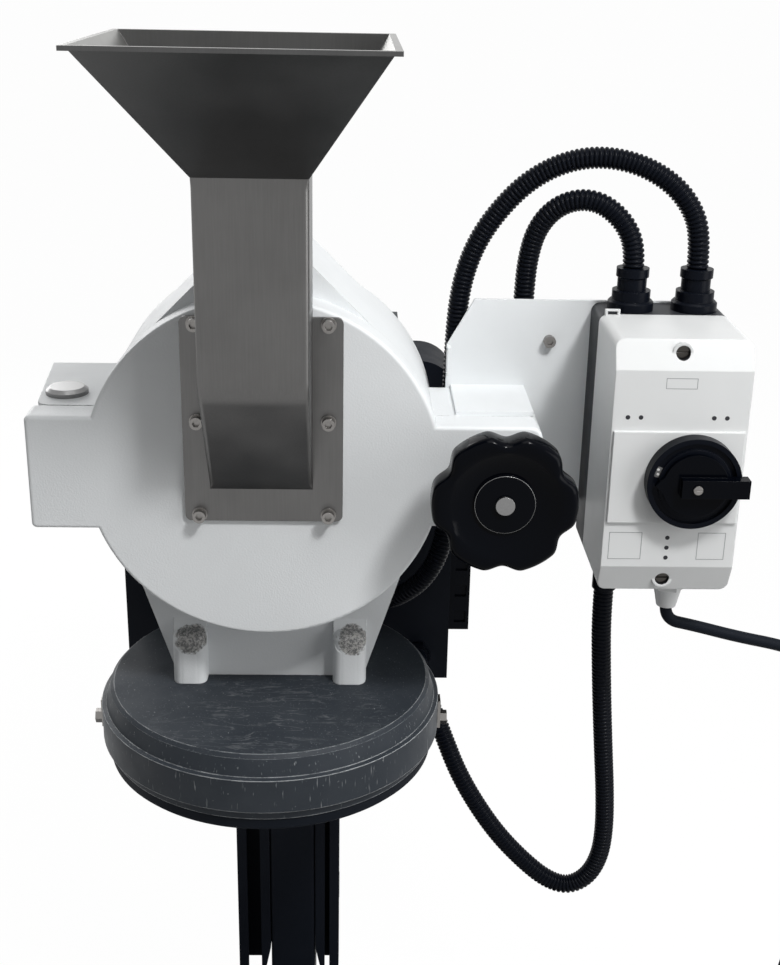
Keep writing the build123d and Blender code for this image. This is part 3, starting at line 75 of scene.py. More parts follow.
def creased(obj, angle=32):
    """Turns the faces outward and keeps edges sharper than the angle crisp."""
    shape = bmesh.new()
    shape.from_mesh(obj.data)
    bmesh.ops.recalc_face_normals(shape, faces=shape.faces)
    for edge in shape.edges:
        edge.smooth = len(edge.link_faces) < 2 or edge.calc_face_angle(0.0) < math.radians(angle)
    shape.to_mesh(obj.data)
    shape.free()
    return obj


def blocks(name, places):
    """Boxes given by their low and high corners, in one mesh."""
    verts, faces = [], []
    for low, high in places:
        first = len(verts)
        verts += [(x, y, z) for x in (low[0], high[0])
                  for y in (low[1], high[1]) for z in (low[2], high[2])]
        faces += [tuple(first + k for k in quad) for quad in (
            (0, 1, 3, 2), (4, 6, 7, 5), (0, 4, 5, 1), (2, 3, 7, 6), (0, 2, 6, 4), (1, 5, 7, 3))]
    return mesh_object(name, verts, faces, smooth=False)


def facing(node_name, x, z):
    """Y of the first face of a CAD piece that a level line from the front meets."""
    mesh = nodes[node_name].data
    shape = BVHTree.FromPolygons([vertex.co for vertex in mesh.vertices],
                                 [tuple(polygon.vertices) for polygon in mesh.polygons])
    place = shape.ray_cast(Vector((x, in_front_y, z)), Vector((0, 1, 0)))[0]
    return place.y


def dress(obj, body, slot, material, *replaced):
    """Gives a new piece its finish and its body and hides the nodes it stands for; the slot is not
    used.
    """
    obj.data.materials.clear()
    obj.data.materials.append(material)
    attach(obj, body)
    if replaced:
        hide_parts(*replaced)
    return obj


def ring_faces(ring_count, sides, close_ends=False):
    """Quads between rings of vertices that follow each other, and caps if asked for."""
    faces = []
    for ring in range(ring_count - 1):
        for side in range(sides):
            following = (side + 1) % sides
            faces.append((ring * sides + side, ring * sides + following,
                          (ring + 1) * sides + following, (ring + 1) * sides + side))
    if close_ends:
        faces.append(tuple(reversed(range(sides))))
        faces.append(tuple((ring_count - 1) * sides + side for side in range(sides)))
    return faces


def circle(sides):
    """Cosine and sine of evenly spaced turns."""
    turns = [2 * math.pi * k / sides for k in range(sides)]
    return [(math.cos(turn), math.sin(turn)) for turn in turns]


def turned(name, profile, centre, axis, sides):
    """Turned solid; profile is (radius, distance along the axis) from one end to the other."""
    along = Vector(axis).normalized()
    side_x = along.orthogonal().normalized()
    side_y = along.cross(side_x)
    verts = []
    for radius, distance in profile:
        for cosine, sine in circle(sides):
            verts.append(Vector(centre) + along * distance
                         + (side_x * cosine + side_y * sine) * radius)
    return creased(mesh_object(name, verts, ring_faces(len(profile), sides, True)))


# ======================================================================== shader helpers
def node(tree, kind, **settings):
    made = tree.nodes.new(kind)
    for key, value in settings.items():
        setattr(made, key, value)
    return made


def noise(tree, vector, scale, detail=4.0, roughness=0.5, distortion=0.0):
    made = node(tree, "ShaderNodeTexNoise")
    made.inputs["Scale"].default_value = scale
    made.inputs["Detail"].default_value = detail
    made.inputs["Roughness"].default_value = roughness
    made.inputs["Distortion"].default_value = distortion
    tree.links.new(vector, made.inputs["Vector"])
    return made.outputs["Fac"]


def ramp(tree, value, stops):
    """Colour ramp through (position, grey or colour) stops."""
    made = node(tree, "ShaderNodeValToRGB")
    elements = made.color_ramp.elements
    while len(elements) < len(stops):
        elements.new(0.5)
    for element, (place, shade) in zip(elements, stops):
        element.position = place
        colour = shade if isinstance(shade, (tuple, list)) else (shade, shade, shade)
        element.color = (*colour, 1)
    tree.links.new(value, made.inputs["Fac"])
    return made.outputs["Color"]


def mixed(tree, share, first, second, blend="MIX"):
    """Colour mix; first and second are colours or sockets, share is a number or a socket."""
    made = node(tree, "ShaderNodeMix", data_type="RGBA", blend_type=blend)
    for value, socket in ((share, made.inputs[0]), (first, made.inputs[6]), (second, made.inputs[7])):
        if isinstance(value, bpy.types.NodeSocket):
            tree.links.new(value, socket)
        elif isinstance(value, (tuple, list)):
            socket.default_value = (*value, 1)
        else:
            socket.default_value = value
    return made.outputs[2]


def arithmetic(tree, operation, first, second=0.0, clamp=False):
    made = node(tree, "ShaderNodeMath", operation=operation, use_clamp=clamp)
    for value, socket in ((first, made.inputs[0]), (second, made.inputs[1])):
        if isinstance(value, bpy.types.NodeSocket):
            tree.links.new(value, socket)
        else:
            socket.default_value = value
    return made.outputs[0]


def stretched(tree, scale):
    """Object coordinates scaled by axis, for brushed or directional marks."""
    coords = node(tree, "ShaderNodeTexCoord")
    mapping = node(tree, "ShaderNodeMapping")
    mapping.inputs["Scale"].default_value = scale
    tree.links.new(coords.outputs["Object"], mapping.inputs["Vector"])
    return mapping.outputs["Vector"]


def begin(name):
    """New material with a Principled shader; returns material, tree, shader, object coordinates."""
    material = bpy.data.materials.new(name)
    material.use_nodes = True
    tree = material.node_tree
    tree.nodes.clear()
    output = node(tree, "ShaderNodeOutputMaterial")
    shader = node(tree, "ShaderNodeBsdfPrincipled")
    tree.links.new(shader.outputs["BSDF"], output.inputs["Surface"])
    coords = node(tree, "ShaderNodeTexCoord")
    return material, tree, shader, coords.outputs["Object"]


def soft_edges(tree, shader, radius, height=None, strength=0.3, depth=0.0002):
    """Rounds the shading of edges by radius and lays a fine bump over it."""
    bevel = node(tree, "ShaderNodeBevel", samples=6)
    bevel.inputs["Radius"].default_value = radius
    normal = bevel.outputs["Normal"]
    if height is not None:
        bump = node(tree, "ShaderNodeBump")
        bump.inputs["Strength"].default_value = strength
        bump.inputs["Distance"].default_value = depth
        tree.links.new(height, bump.inputs["Height"])
        tree.links.new(normal, bump.inputs["Normal"])
        normal = bump.outputs["Normal"]
    tree.links.new(normal, shader.inputs["Normal"])


def edge_mask(tree, radius, low, high, breakup=None):
    """1 on edges, 0 on faces: how far the rounded normal leaves the true one."""
    bevel = node(tree, "ShaderNodeBevel", samples=6)
    bevel.inputs["Radius"].default_value = radius
    geometry = node(tree, "ShaderNodeNewGeometry")
    dot = node(tree, "ShaderNodeVectorMath", operation="DOT_PRODUCT")
    tree.links.new(bevel.outputs["Normal"], dot.inputs[0])
    tree.links.new(geometry.outputs["Normal"], dot.inputs[1])
    away = arithmetic(tree, "SUBTRACT", 1.0, dot.outputs["Value"])
    if breakup is not None:
        away = arithmetic(tree, "MULTIPLY", away, breakup)
    mapped = node(tree, "ShaderNodeMapRange", clamp=True)
    mapped.inputs["From Min"].default_value = low
    mapped.inputs["From Max"].default_value = high
    tree.links.new(away, mapped.inputs["Value"])
    return mapped.outputs["Result"]


def near(tree, place, centre, inner, outer):
    """1 within inner of the centre, falling to 0 at outer."""
    gap = node(tree, "ShaderNodeVectorMath", operation="DISTANCE")
    tree.links.new(place, gap.inputs[0])
    gap.inputs[1].default_value = centre
    fall = node(tree, "ShaderNodeMapRange", clamp=True)
    fall.inputs["From Min"].default_value = inner
    fall.inputs["From Max"].default_value = outer
    fall.inputs["To Min"].default_value = 1.0
    fall.inputs["To Max"].default_value = 0.0
    tree.links.new(gap.outputs["Value"], fall.inputs["Value"])
    return fall.outputs["Result"]


def principled(material):
    """The Principled shader of a finished material and the socket that colours it."""
    shader = next(n for n in material.node_tree.nodes if n.type == "BSDF_PRINCIPLED")
    return shader, shader.inputs["Base Color"].links[0].from_socket


# ======================================================================== materials
scraped = (0.07, 0.07, 0.07)         # dark flecks in a rubbed place
lid_bare = (0.48, 0.50, 0.51)        # where the lid's paint is gone


def powder_coat(name, colour, roughness, grain=1100.0, grain_strength=0.35, edge=0.0012,
                worn=None, worn_share=0.0, cloud=0.05, specular=0.45, rubbed=()):
    """Painted metal: orange-peel grain, faint clouds, chipped edges and rubbed places."""
    material, tree, shader, place = begin(name)
    clouds = ramp(tree, noise(tree, place, 9.0, 5), [(0.3, 1 - cloud), (0.7, 1.0)])
    base = mixed(tree, 1.0, colour, clouds, "MULTIPLY")
    if worn is not None:
        breakup = ramp(tree, noise(tree, place, 120.0, 6, 0.65), [(0.45, 0.0), (0.62, 1.0)])
        mask = edge_mask(tree, edge, 0.03, 0.16, breakup)
        mask = arithmetic(tree, "MULTIPLY", mask, worn_share)
        ragged = noise(tree, place, 95.0, 8, 0.8)
        for centre, inner, outer in rubbed:
            patch = arithmetic(tree, "MULTIPLY", near(tree, place, centre, inner, outer), ragged)
            patch = ramp(tree, patch, [(0.21, 0.0), (0.25, 0.9)])
            mask = arithmetic(tree, "MAXIMUM", mask, patch)
        flecks = ramp(tree, noise(tree, place, 420.0, 5, 0.8), [(0.46, 0.0), (0.54, 1.0)])
        bare = mixed(tree, flecks, worn, scraped)
        base = mixed(tree, mask, base, bare)
    tree.links.new(base, shader.inputs["Base Color"])
    rough = ramp(tree, noise(tree, place, 60.0, 3),
                 [(0.3, roughness - 0.05), (0.7, roughness + 0.05)])
    tree.links.new(rough, shader.inputs["Roughness"])
    shader.inputs["Specular IOR Level"].default_value = specular
    soft_edges(tree, shader, edge, noise(tree, place, grain, 3), grain_strength, 0.0003)
    return material


def brushed_metal(name, colour, roughness, direction=(900.0, 900.0, 30.0), edge=0.0007,
                  contrast=0.12, smear=0.16):
    """Bare metal with fine lines along one way, light smears and soft edges."""
    material, tree, shader, place = begin(name)
    lines = noise(tree, stretched(tree, direction), 1.0, 6, 0.6)
    smears = noise(tree, place, 16.0, 5, 0.55)
    base = mixed(tree, 1.0, colour,
                 ramp(tree, lines, [(0.25, 1 - contrast), (0.75, 1.0)]), "MULTIPLY")
    base = mixed(tree, 1.0, base,
                 ramp(tree, smears, [(0.3, 1 - smear), (0.7, 1.0)]), "MULTIPLY")
    tree.links.new(base, shader.inputs["Base Color"])
    rough = ramp(tree, smears, [(0.3, roughness - 0.05), (0.7, roughness + 0.06)])
    tree.links.new(rough, shader.inputs["Roughness"])
    shader.inputs["Metallic"].default_value = 1.0
    soft_edges(tree, shader, edge, lines, 0.08, 0.00006)
    return material


def moulded(name, colour, roughness, grain=1800.0, strength=0.15, edge=0.0006, cloud=0.04,
            specular=0.25):
    """Moulded plastic or rubber: fine grain, slight handling marks."""
    material, tree, shader, place = begin(name)
    clouds = ramp(tree, noise(tree, place, 14.0, 4), [(0.3, 1 - cloud), (0.7, 1.0)])
    tree.links.new(mixed(tree, 1.0, colour, clouds, "MULTIPLY"), shader.inputs["Base Color"])
    rough = ramp(tree, noise(tree, place, 45.0, 5),
                 [(0.3, max(roughness - 0.05, 0.02)), (0.7, roughness + 0.05)])
    tree.links.new(rough, shader.inputs["Roughness"])
    shader.inputs["Specular IOR Level"].default_value = specular
    soft_edges(tree, shader, edge, noise(tree, place, grain, 2), strength, 0.0001)
    return material


lid_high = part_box("collector_lid")[1]


def scuffed_lid(name):
    """Dark blue-grey paint of the collector lid: bright worn edges, arcs, ticks and specks."""
    material, tree, shader, place = begin(name)
    clouds = ramp(tree, noise(tree, place, 12.0, 6, 0.6),
                  [(0.3, (0.020, 0.025, 0.032)), (0.7, (0.036, 0.042, 0.050))])
    breakup = ramp(tree, noise(tree, place, 70.0, 6, 0.7), [(0.36, 0.15), (0.62, 1.0)])
    edges = edge_mask(tree, 0.0014, 0.015, 0.09, breakup)
    ticks = ramp(tree, noise(tree, stretched(tree, (700.0, 700.0, 60.0)), 1.0, 3),
                 [(0.66, 0.0), (0.72, 0.7)])
    swirl = noise(tree, stretched(tree, (20.0, 80.0, 20.0)), 1.0, 5, 0.6, 0.5)
    arcs = ramp(tree, swirl, [(0.478, 0.0), (0.494, 1.0), (0.506, 1.0), (0.522, 0.0)])
    rubbed = ramp(tree, noise(tree, place, 55.0, 5, 0.65), [(0.40, 0.0), (0.62, 0.50)])
    heights = node(tree, "ShaderNodeSeparateXYZ")
    tree.links.new(place, heights.inputs[0])
    on_top = ramp(tree, arithmetic(tree, "SUBTRACT", heights.outputs["Z"], lid_high[2] - 0.0015),
                  [(0.0, 0.0), (0.0006, 1.0)])
    in_reach = near(tree, place, (0.01, -0.080, lid_high[2]), 0.02, 0.12)
    handled = arithmetic(tree, "MULTIPLY", in_reach, rubbed)
    handled = arithmetic(tree, "MULTIPLY", handled, on_top)
    arcs = arithmetic(tree, "MULTIPLY", arcs, handled)
    specks = ramp(tree, noise(tree, place, 380.0, 2), [(0.74, 0.0), (0.78, 0.8)])
    marks = arithmetic(tree, "MAXIMUM", arithmetic(tree, "MULTIPLY", ticks, 0.5), arcs)
    marks = arithmetic(tree, "MAXIMUM", marks, arithmetic(tree, "MULTIPLY", specks, 0.6))
    marks = arithmetic(tree, "MAXIMUM", marks, edges, clamp=True)
    tree.links.new(mixed(tree, marks, clouds, lid_bare), shader.inputs["Base Color"])
    rough = ramp(tree, noise(tree, place, 30.0, 5), [(0.3, 0.40), (0.7, 0.56)])
    tree.links.new(rough, shader.inputs["Roughness"])
    shader.inputs["Specular IOR Level"].default_value = 0.14
    soft_edges(tree, shader, 0.0012, noise(tree, place, 700.0, 3), 0.25, 0.00015)
    return material


boss_marks = [((side * 0.068 + 0.002, -0.019, 0.592), 0.004, 0.021) for side in (-1, 1)]
screws_low, screws_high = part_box("cover_screws")
screw_r = 5 * MM
well_r = 5.5 * MM
well_rim = 0.15 * MM
well_x = (screws_low[0] + screws_high[0]) / 2
wells = [(well_x, z) for z in (screws_low[2] + screw_r, screws_high[2] - screw_r)]


def box_plastic(name, colour, roughness):
    """Light grey moulding with painted shade: near-black inside its screw wells."""
    material = moulded(name, colour, roughness, strength=0.25, edge=0.0014, specular=0.4)
    tree = material.node_tree
    shader, base = principled(material)
    level = stretched(tree, (1.0, 0.0, 1.0))
    for x, z in wells:
        # Painted shade: the cover within each screw well is near-black.
        inside = near(tree, level, (x, 0.0, z), well_r, well_r + well_rim)
        base = mixed(tree, inside, base, (0.02, 0.02, 0.022))
    tree.links.new(base, shader.inputs["Base Color"])
    return material


def hopper_steel_painted_light(name, outside, inside, roughness):
    """Steel with a darker base, a painted shade for the dark floor it reflects, and a lighter colour on
    faces that point up, a painted light.
    """
    material = brushed_metal(name, outside, roughness)
    tree = material.node_tree
    shader, base = principled(material)
    geometry = node(tree, "ShaderNodeNewGeometry")
    upward = node(tree, "ShaderNodeSeparateXYZ")
    tree.links.new(geometry.outputs["True Normal"], upward.inputs[0])
    # Painted light: faces whose normal points up take the lighter colour.
    up_facing_painted_light = ramp(tree, upward.outputs["Z"], [(0.05, 0.0), (0.15, 1.0)])
    tree.links.new(mixed(tree, up_facing_painted_light, base, inside), shader.inputs["Base Color"])
    return material


even_grain = (900.0, 900.0, 900.0)
fine_grain = (1500.0, 1500.0, 1500.0)
materials = {
    "cast_white": powder_coat("cast_white", (0.76, 0.78, 0.79), 0.50, grain=620.0,
                              grain_strength=0.5, worn=(0.40, 0.39, 0.37), worn_share=0.7,
                              edge=0.0013, rubbed=boss_marks),
    "sheet_white": powder_coat("sheet_white", (0.77, 0.79, 0.80), 0.42, grain_strength=0.2,
                               edge=0.0007),
    "stainless": brushed_metal("stainless", (0.145, 0.143, 0.141), 0.36),
    "steel": brushed_metal("steel", (0.25, 0.25, 0.25), 0.30, even_grain),
    "zinc": brushed_metal("zinc", (0.27, 0.26, 0.25), 0.28, fine_grain, contrast=0.2, edge=0.0004),
    "dark_lid": scuffed_lid("dark_lid"),
    "black_frame": powder_coat("black_frame", (0.008, 0.010, 0.015), 0.5, grain_strength=0.25,
                               edge=0.0009, cloud=0.2, specular=0.07),
    "black_knob": moulded("black_knob", (0.0010, 0.0015, 0.003), 0.13, strength=0.02, edge=0.0006,
                          specular=0.05),
    "black_plastic": moulded("black_plastic", (0.003, 0.004, 0.007), 0.30, edge=0.0008,
                             specular=0.05),
    "grey_plastic": box_plastic("grey_plastic", (0.67, 0.68, 0.68), 0.45),
    "dark_plastic": moulded("dark_plastic", (0.022, 0.024, 0.028), 0.50, specular=0.15),
    "rubber": moulded("rubber", (0.006, 0.008, 0.012), 0.62, strength=0.3, specular=0.07),
    "motor_paint": powder_coat("motor_paint", (0.030, 0.036, 0.043), 0.45, cloud=0.15,
                               specular=0.15),
}
own_finish = {                       # pieces that differ from the rest of their slot
    # hopper: darker base as painted shade, lighter up-facing faces as painted light.
    "hopper": hopper_steel_painted_light("hopper_steel_painted_light", (0.10, 0.10, 0.10), (0.34, 0.34, 0.33), 0.36),
    # cover_screws: a dark copy of zinc, painted shade for screws that sit deep in their wells.
    "cover_screws": brushed_metal("deep_screw_painted_shade", (0.07, 0.065, 0.06), 0.3, fine_grain, edge=0.0003),
}
for subpart in frame["record"]["subparts"]:
    mesh = nodes[subpart["node"]].data
    mesh.materials.clear()
    mesh.materials.append(own_finish.get(subpart["node"], materials[subpart["material_slot"]]))


# ======================================================================== hoses and mains lead
conduit_r = 8.75 * MM
conduit_root_r = 7.3 * MM
conduit_pitch = 3.7 * MM

long_route = [
    (0.346, 0.0285, 0.905), (0.346, 0.0285, 0.925), (0.341, 0.030, 0.948), (0.324, 0.034, 0.970),
    (0.297, 0.041, 0.985), (0.266, 0.0485, 0.990), (0.237, 0.056, 0.984), (0.210, 0.062, 0.968),
    (0.188, 0.067, 0.944), (0.171, 0.0705, 0.917), (0.161, 0.073, 0.888), (0.1565, 0.0735, 0.857),
    (0.155, 0.0735, 0.817), (0.154, 0.0735, 0.770), (0.155, 0.0745, 0.721), (0.1545, 0.0735, 0.674),
    (0.150, 0.0715, 0.636), (0.135, 0.0715, 0.606), (0.113, 0.079, 0.586), (0.100, 0.092, 0.576),
    (0.100, 0.1155, 0.576),
]
short_route = [
    (0.294, 0.0285, 0.905), (0.294, 0.0285, 0.922), (0.2845, 0.031, 0.941), (0.267, 0.036, 0.955),
    (0.248, 0.042, 0.957), (0.230, 0.049, 0.948), (0.2175, 0.057, 0.929), (0.2125, 0.0635, 0.903),
    (0.2115, 0.0665, 0.873), (0.211, 0.0665, 0.840), (0.211, 0.0665, 0.806),
]
drop_route = [
    (0.291, 0.0285, 0.621), (0.291, 0.0285, 0.591), (0.294, 0.0295, 0.551), (0.298, 0.0305, 0.506),
    (0.303, 0.031, 0.456), (0.3085, 0.0325, 0.406), (0.311, 0.0335, 0.366), (0.309, 0.0345, 0.334),
    (0.299, 0.0365, 0.309), (0.281, 0.0385, 0.297), (0.260, 0.041, 0.303), (0.236, 0.0445, 0.323),
    (0.211, 0.048, 0.350), (0.189, 0.052, 0.382), (0.171, 0.0575, 0.414), (0.158, 0.065, 0.446),
    (0.148, 0.074, 0.470), (0.138, 0.084, 0.486), (0.132, 0.097, 0.493), (0.132, 0.1155, 0.493),
]
mains_r = 5.0 * MM
mains_route = [
    (0.331, -0.0365, 0.636), (0.331, -0.0365, 0.622), (0.355, -0.037, 0.617), (0.394, -0.037, 0.6065),
    (0.433, -0.037, 0.5985), (0.462, -0.036, 0.587), (0.486, -0.033, 0.566), (0.500, -0.028, 0.536),
    (0.507, -0.021, 0.500), (0.511, -0.012, 0.455), (0.512, -0.003, 0.405), (0.5105, 0.007, 0.355),
    (0.508, 0.017, 0.305), (0.505, 0.026, 0.255), (0.502, 0.034, 0.205), (0.498, 0.042, 0.158),
    (0.493, 0.049, 0.115), (0.485, 0.056, 0.075), (0.472, 0.062, 0.042), (0.453, 0.0665, 0.018),
    (0.427, 0.068, 0.005), (0.400, 0.068, 0.005),
]
coil_x, coil_y = 0.380, 0.008
coil_r = 60 * MM
coil_pitch = 10.8 * MM
coil_layer = 10.8 * MM
coil_half_turns = 3                  # on each layer, with one climbing half turn between
coil_reverse_step = 12 * MM
coil_points_per_half = 8
coil_tail = 50 * MM


def spline_curve(name, route):
    """Smooth open curve with the route's points as its control points."""
    data = bpy.data.curves.new(name, "CURVE")
    data.dimensions = "3D"
    data.resolution_u = 24
    spline = data.splines.new("NURBS")
    spline.points.add(len(route) - 1)
    for point, place in zip(spline.points, route):
        point.co = (*place, 1)
    spline.order_u = 3
    spline.use_endpoint_u = True
    return data


def travelled(points):
    """Length of a line through the points."""
    return sum((second - first).length for first, second in zip(points, points[1:]))


def spline_points(name, route):
    """Points read from the route's smooth curve."""
    data = spline_curve(name, route)
    carrier = bpy.data.objects.new(name, data)
    mesh = bpy.data.meshes.new_from_object(carrier)
    points = [vertex.co.copy() for vertex in mesh.vertices]
    bpy.data.objects.remove(carrier)
    bpy.data.meshes.remove(mesh)
    bpy.data.curves.remove(data)
    return points


def stations(points, spacing):
    """Evenly spaced (place, direction) along the points."""
    lengths = [0.0]
    for first, second in zip(points, points[1:]):
        lengths.append(lengths[-1] + (second - first).length)
    count = max(2, round(lengths[-1] / spacing))
    made = []
    index = 0
    for k in range(count + 1):
        target = lengths[-1] * k / count
        while index < len(points) - 2 and lengths[index + 1] < target:
            index += 1
        run = points[index + 1] - points[index]
        share = (target - lengths[index]) / max(run.length, 1e-9)
        made.append((points[index] + run * share, run.normalized()))
    return made, lengths[-1]


def hose_profile(share):
    """Radius over one rib: a rounded crest and a narrow valley."""
    wave = 0.5 + 0.5 * math.cos(2 * math.pi * (share - 0.5))
    return conduit_root_r + (conduit_r - conduit_root_r) * min(1.0, 1.25 * wave ** 0.6)


def corrugated(name, route, sides=28, steps=8):
    """Corrugated hose along the route, closed at both ends."""
    points = spline_points(name + "_line", route)
    total = travelled(points)
    ribs = round(total / conduit_pitch)
    places, length = stations(points, total / (ribs * steps))
    steady = Vector((0, 1, 0))
    verts = []
    for index, (place, along) in enumerate(places):
        side_x = (steady - along * steady.dot(along)).normalized()
        side_y = along.cross(side_x)
        radius = hose_profile((index % steps) / steps)
        for cosine, sine in circle(sides):
            verts.append(place + (side_x * cosine + side_y * sine) * radius)
    obj = mesh_object(name, verts, ring_faces(len(places), sides, True))
    return obj, points, length


for which, route in (("long", long_route), ("short", short_route), ("drop", drop_route)):
    hose, line, hose_length = corrugated("hose_" + which, route)
    dress(hose, "root", "black_plastic", materials["black_plastic"], "conduit_" + which)


def coil_points():
    """Control points of the coil: half turns in on the lower layer, a climb, and out on the upper."""
    reaches = [coil_r - k * coil_pitch / 2 for k in range(coil_half_turns + 1)]
    upper = reaches[-1] - coil_pitch / 2
    reaches.append(upper)
    reaches.append(upper + coil_reverse_step)
    for _ in range(coil_half_turns - 1):
        reaches.append(reaches[-1] + coil_pitch / 2)
    heights = [mains_r] * (coil_half_turns + 1) + [mains_r + coil_layer] * (coil_half_turns + 1)
    made = []
    side = 1
    outward = 1 / math.cos(math.pi / coil_points_per_half / 2) ** 1.5
    for turn in range(len(reaches) - 1):
        start_y = coil_y + side * reaches[turn]
        end_y = coil_y - side * reaches[turn + 1]
        radius = abs(end_y - start_y) / 2
        centre_y = (start_y + end_y) / 2
        for k in range(coil_points_per_half):
            share = (k + 0.5) / coil_points_per_half
            angle = math.pi * share
            height = heights[turn] + (heights[turn + 1] - heights[turn]) * share
            made.append((coil_x - side * radius * outward * math.sin(angle),
                         centre_y + side * radius * outward * math.cos(angle), height))
        side = -side
    last_y = coil_y + side * reaches[-1]
    return made, Vector((coil_x, last_y, heights[-1])), side


coil, coil_end, coil_side = coil_points()
tail_heading = -coil_side
tail = [(coil_end.x + tail_heading * coil_tail * share, coil_end.y, coil_end.z)
        for share in (0.25, 0.6, 1.0)]
mains_data = spline_curve("mains_lead", mains_route + coil + tail)
mains_data.bevel_depth = mains_r
mains_data.bevel_resolution = 6
mains_data.use_fill_caps = True
mains = link(bpy.data.objects.new("mains_lead", mains_data))
mains_line = spline_points("mains_line", mains_route + coil + tail)
dress(mains, "root", "rubber", materials["rubber"], "mains_cable", "mains_coil")


# ======================================================================== chute with folded corners
chute_low, chute_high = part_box("chute")
sheet = 1.5 * MM
bend_z = axis_z + 85.0 * MM
feed_top_z = axis_z + 74.0 * MM
fold_r = 4 * MM
fold_steps = 6
bend_half = 9 * MM                   # length of the soft bend on each side
level_step = 2 * MM


def chute_front_at(z):
    """Y of the chute's front: upright, a soft bend, then a straight slope back to the toe."""
    lean = (chute_high[1] - chute_low[1]) / (bend_z - chute_low[2])
    below = bend_z - z
    if below <= -bend_half:
        return chute_low[1]
    if below >= bend_half:
        return chute_low[1] + lean * below
    return chute_low[1] + lean * (below + bend_half) ** 2 / (4 * bend_half)


def chute_section(z, inset):
    """One side of the U-shaped section, from the back on the left to the back on the right."""
    left, right = chute_low[0] + inset, chute_high[0] - inset
    back = chute_high[1]
    front = min(chute_front_at(z) + inset, back - 0.2 * MM)
    corner = min(fold_r, (chute_high[2] - z) * 0.4 + 1.2 * MM, back - front) - inset * 0.5
    corner = max(corner, 0.1 * MM)
    angles = [math.pi / 2 * k / fold_steps for k in range(fold_steps + 1)]
    return ([(left, back, z)]
            + [(left + corner * (1 - math.cos(angle)), front + corner * (1 - math.sin(angle)), z)
               for angle in angles]
            + [(right - corner * (1 - math.sin(angle)), front + corner * (1 - math.cos(angle)), z)
               for angle in angles]
            + [(right, back, z)])


def chute_shell():
    """Folded sheet with its wall at the back, from the toe up to the hopper."""
    levels = [chute_low[2] + 0.3 * MM]
    while levels[-1] < chute_high[2] - level_step:
        levels.append(levels[-1] + level_step)
    levels.append(chute_high[2])
    verts = []
    for z in levels:
        verts += chute_section(z, 0) + chute_section(z, sheet)[::-1]
    faces = ring_faces(len(levels), len(verts) // len(levels), True)
    shell = mesh_object("chute_shell", verts, faces)
    back_wall = blocks("chute_back", [((chute_low[0] + sheet, chute_high[1] - sheet, feed_top_z),
                                       (chute_high[0] - sheet, *chute_high[1:]))])
    joined = bmesh.new()
    joined.from_mesh(shell.data)
    joined.from_mesh(back_wall.data)
    joined.to_mesh(shell.data)
    joined.free()
    bpy.data.objects.remove(back_wall)
    return creased(shell, 28)


dress(chute_shell(), "door", "stainless", materials["stainless"], "chute")


# ======================================================================== star knob
knob_low, knob_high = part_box("star_knob")
knob_x, knob_z = (knob_low[0] + knob_high[0]) / 2, (knob_low[2] + knob_high[2]) / 2
knob_r = 55.5 * MM
knob_lobes = 6
scallop_depth = 6 * MM
scallop_half = 17.0                  # degrees from the middle of a scallop to the round rim
rim_round = 6 * MM
rim_steps = 8
knob_sides = 192


def rim_reach(turn):
    """Rim radius at an angle, with the six scallops and their rounded lips."""
    off = math.degrees(turn) % (360 / knob_lobes) - 180 / knob_lobes
    if abs(off) >= scallop_half:
        return knob_r
    return knob_r - scallop_depth * (0.5 + 0.5 * math.cos(math.pi * off / scallop_half))


def star_knob():
    """Rings (radius, depth, whether the radius counts from the rim) from the hub to the neck."""
    hub_and_dish = [(7.6, 5.3), (22.5, 5.3), (23.3, 6.1), (23.3, 8), (24.5, 8), (41, 1.6), (42.5, 0.6)]
    rings = [(radius * MM, depth * MM, False) for radius, depth in hub_and_dish]
    for k in range(rim_steps + 1):
        angle = math.pi / 2 * k / rim_steps
        rings.append((-rim_round * (1 - math.sin(angle)), rim_round * (1 - math.cos(angle)), True))
    rings += [(offset * MM, depth * MM, True) for offset, depth in ((0, 20), (-0.8, 23), (-2.5, 24))]
    rings += [(radius * MM, depth * MM, False) for radius, depth in ((43, 24), (22, 50), (20, 56))]
    verts = []
    for radius, depth, on_rim in rings:
        for k in range(knob_sides):
            turn = 2 * math.pi * k / knob_sides
            rim = rim_reach(turn)
            reach = rim + radius if on_rim else min(radius, rim - rim_round)
            verts.append((knob_x + reach * math.cos(turn), knob_low[1] + depth,
                          knob_z + reach * math.sin(turn)))
    faces = ring_faces(len(rings), knob_sides, True)
    return creased(mesh_object("star_knob_moulding", verts, faces), 38)


dress(star_knob(), "knob", "black_knob", materials["black_knob"], "star_knob")


# ======================================================================== control box details
cover_low, cover_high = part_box("switch_cover")
gland_low, gland_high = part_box("mains_gland")
duct_low, duct_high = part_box("cable_duct")
shadow_line = moulded("shadow_line", (0.30, 0.31, 0.32), 0.6)
dimple_painted_shade = moulded("dimple_painted_shade", (0.03, 0.03, 0.035), 0.7)
pale_mark = moulded("pale_mark", (0.78, 0.78, 0.76), 0.4)
window_grey = moulded("window_grey", (0.16, 0.16, 0.16), 0.3)
mark_proud = 0.06 * MM
mark_root = 0.4 * MM                 # how far a mark reaches into its piece


def dots(name, node_name, places, radius, proud=mark_proud, sides=20):
    """Round marks that lie on a piece's front, in one mesh."""
    verts, faces = [], []
    for x, z in places:
        y = facing(node_name, x, z)
        first = len(verts)
        for depth in (y + mark_root, y - proud):
            verts += [(x + radius * cosine, depth, z + radius * sine) for cosine, sine in circle(sides)]
        faces += [tuple(first + k for k in face) for face in ring_faces(2, sides, True)]
    return creased(mesh_object(name, verts, faces))


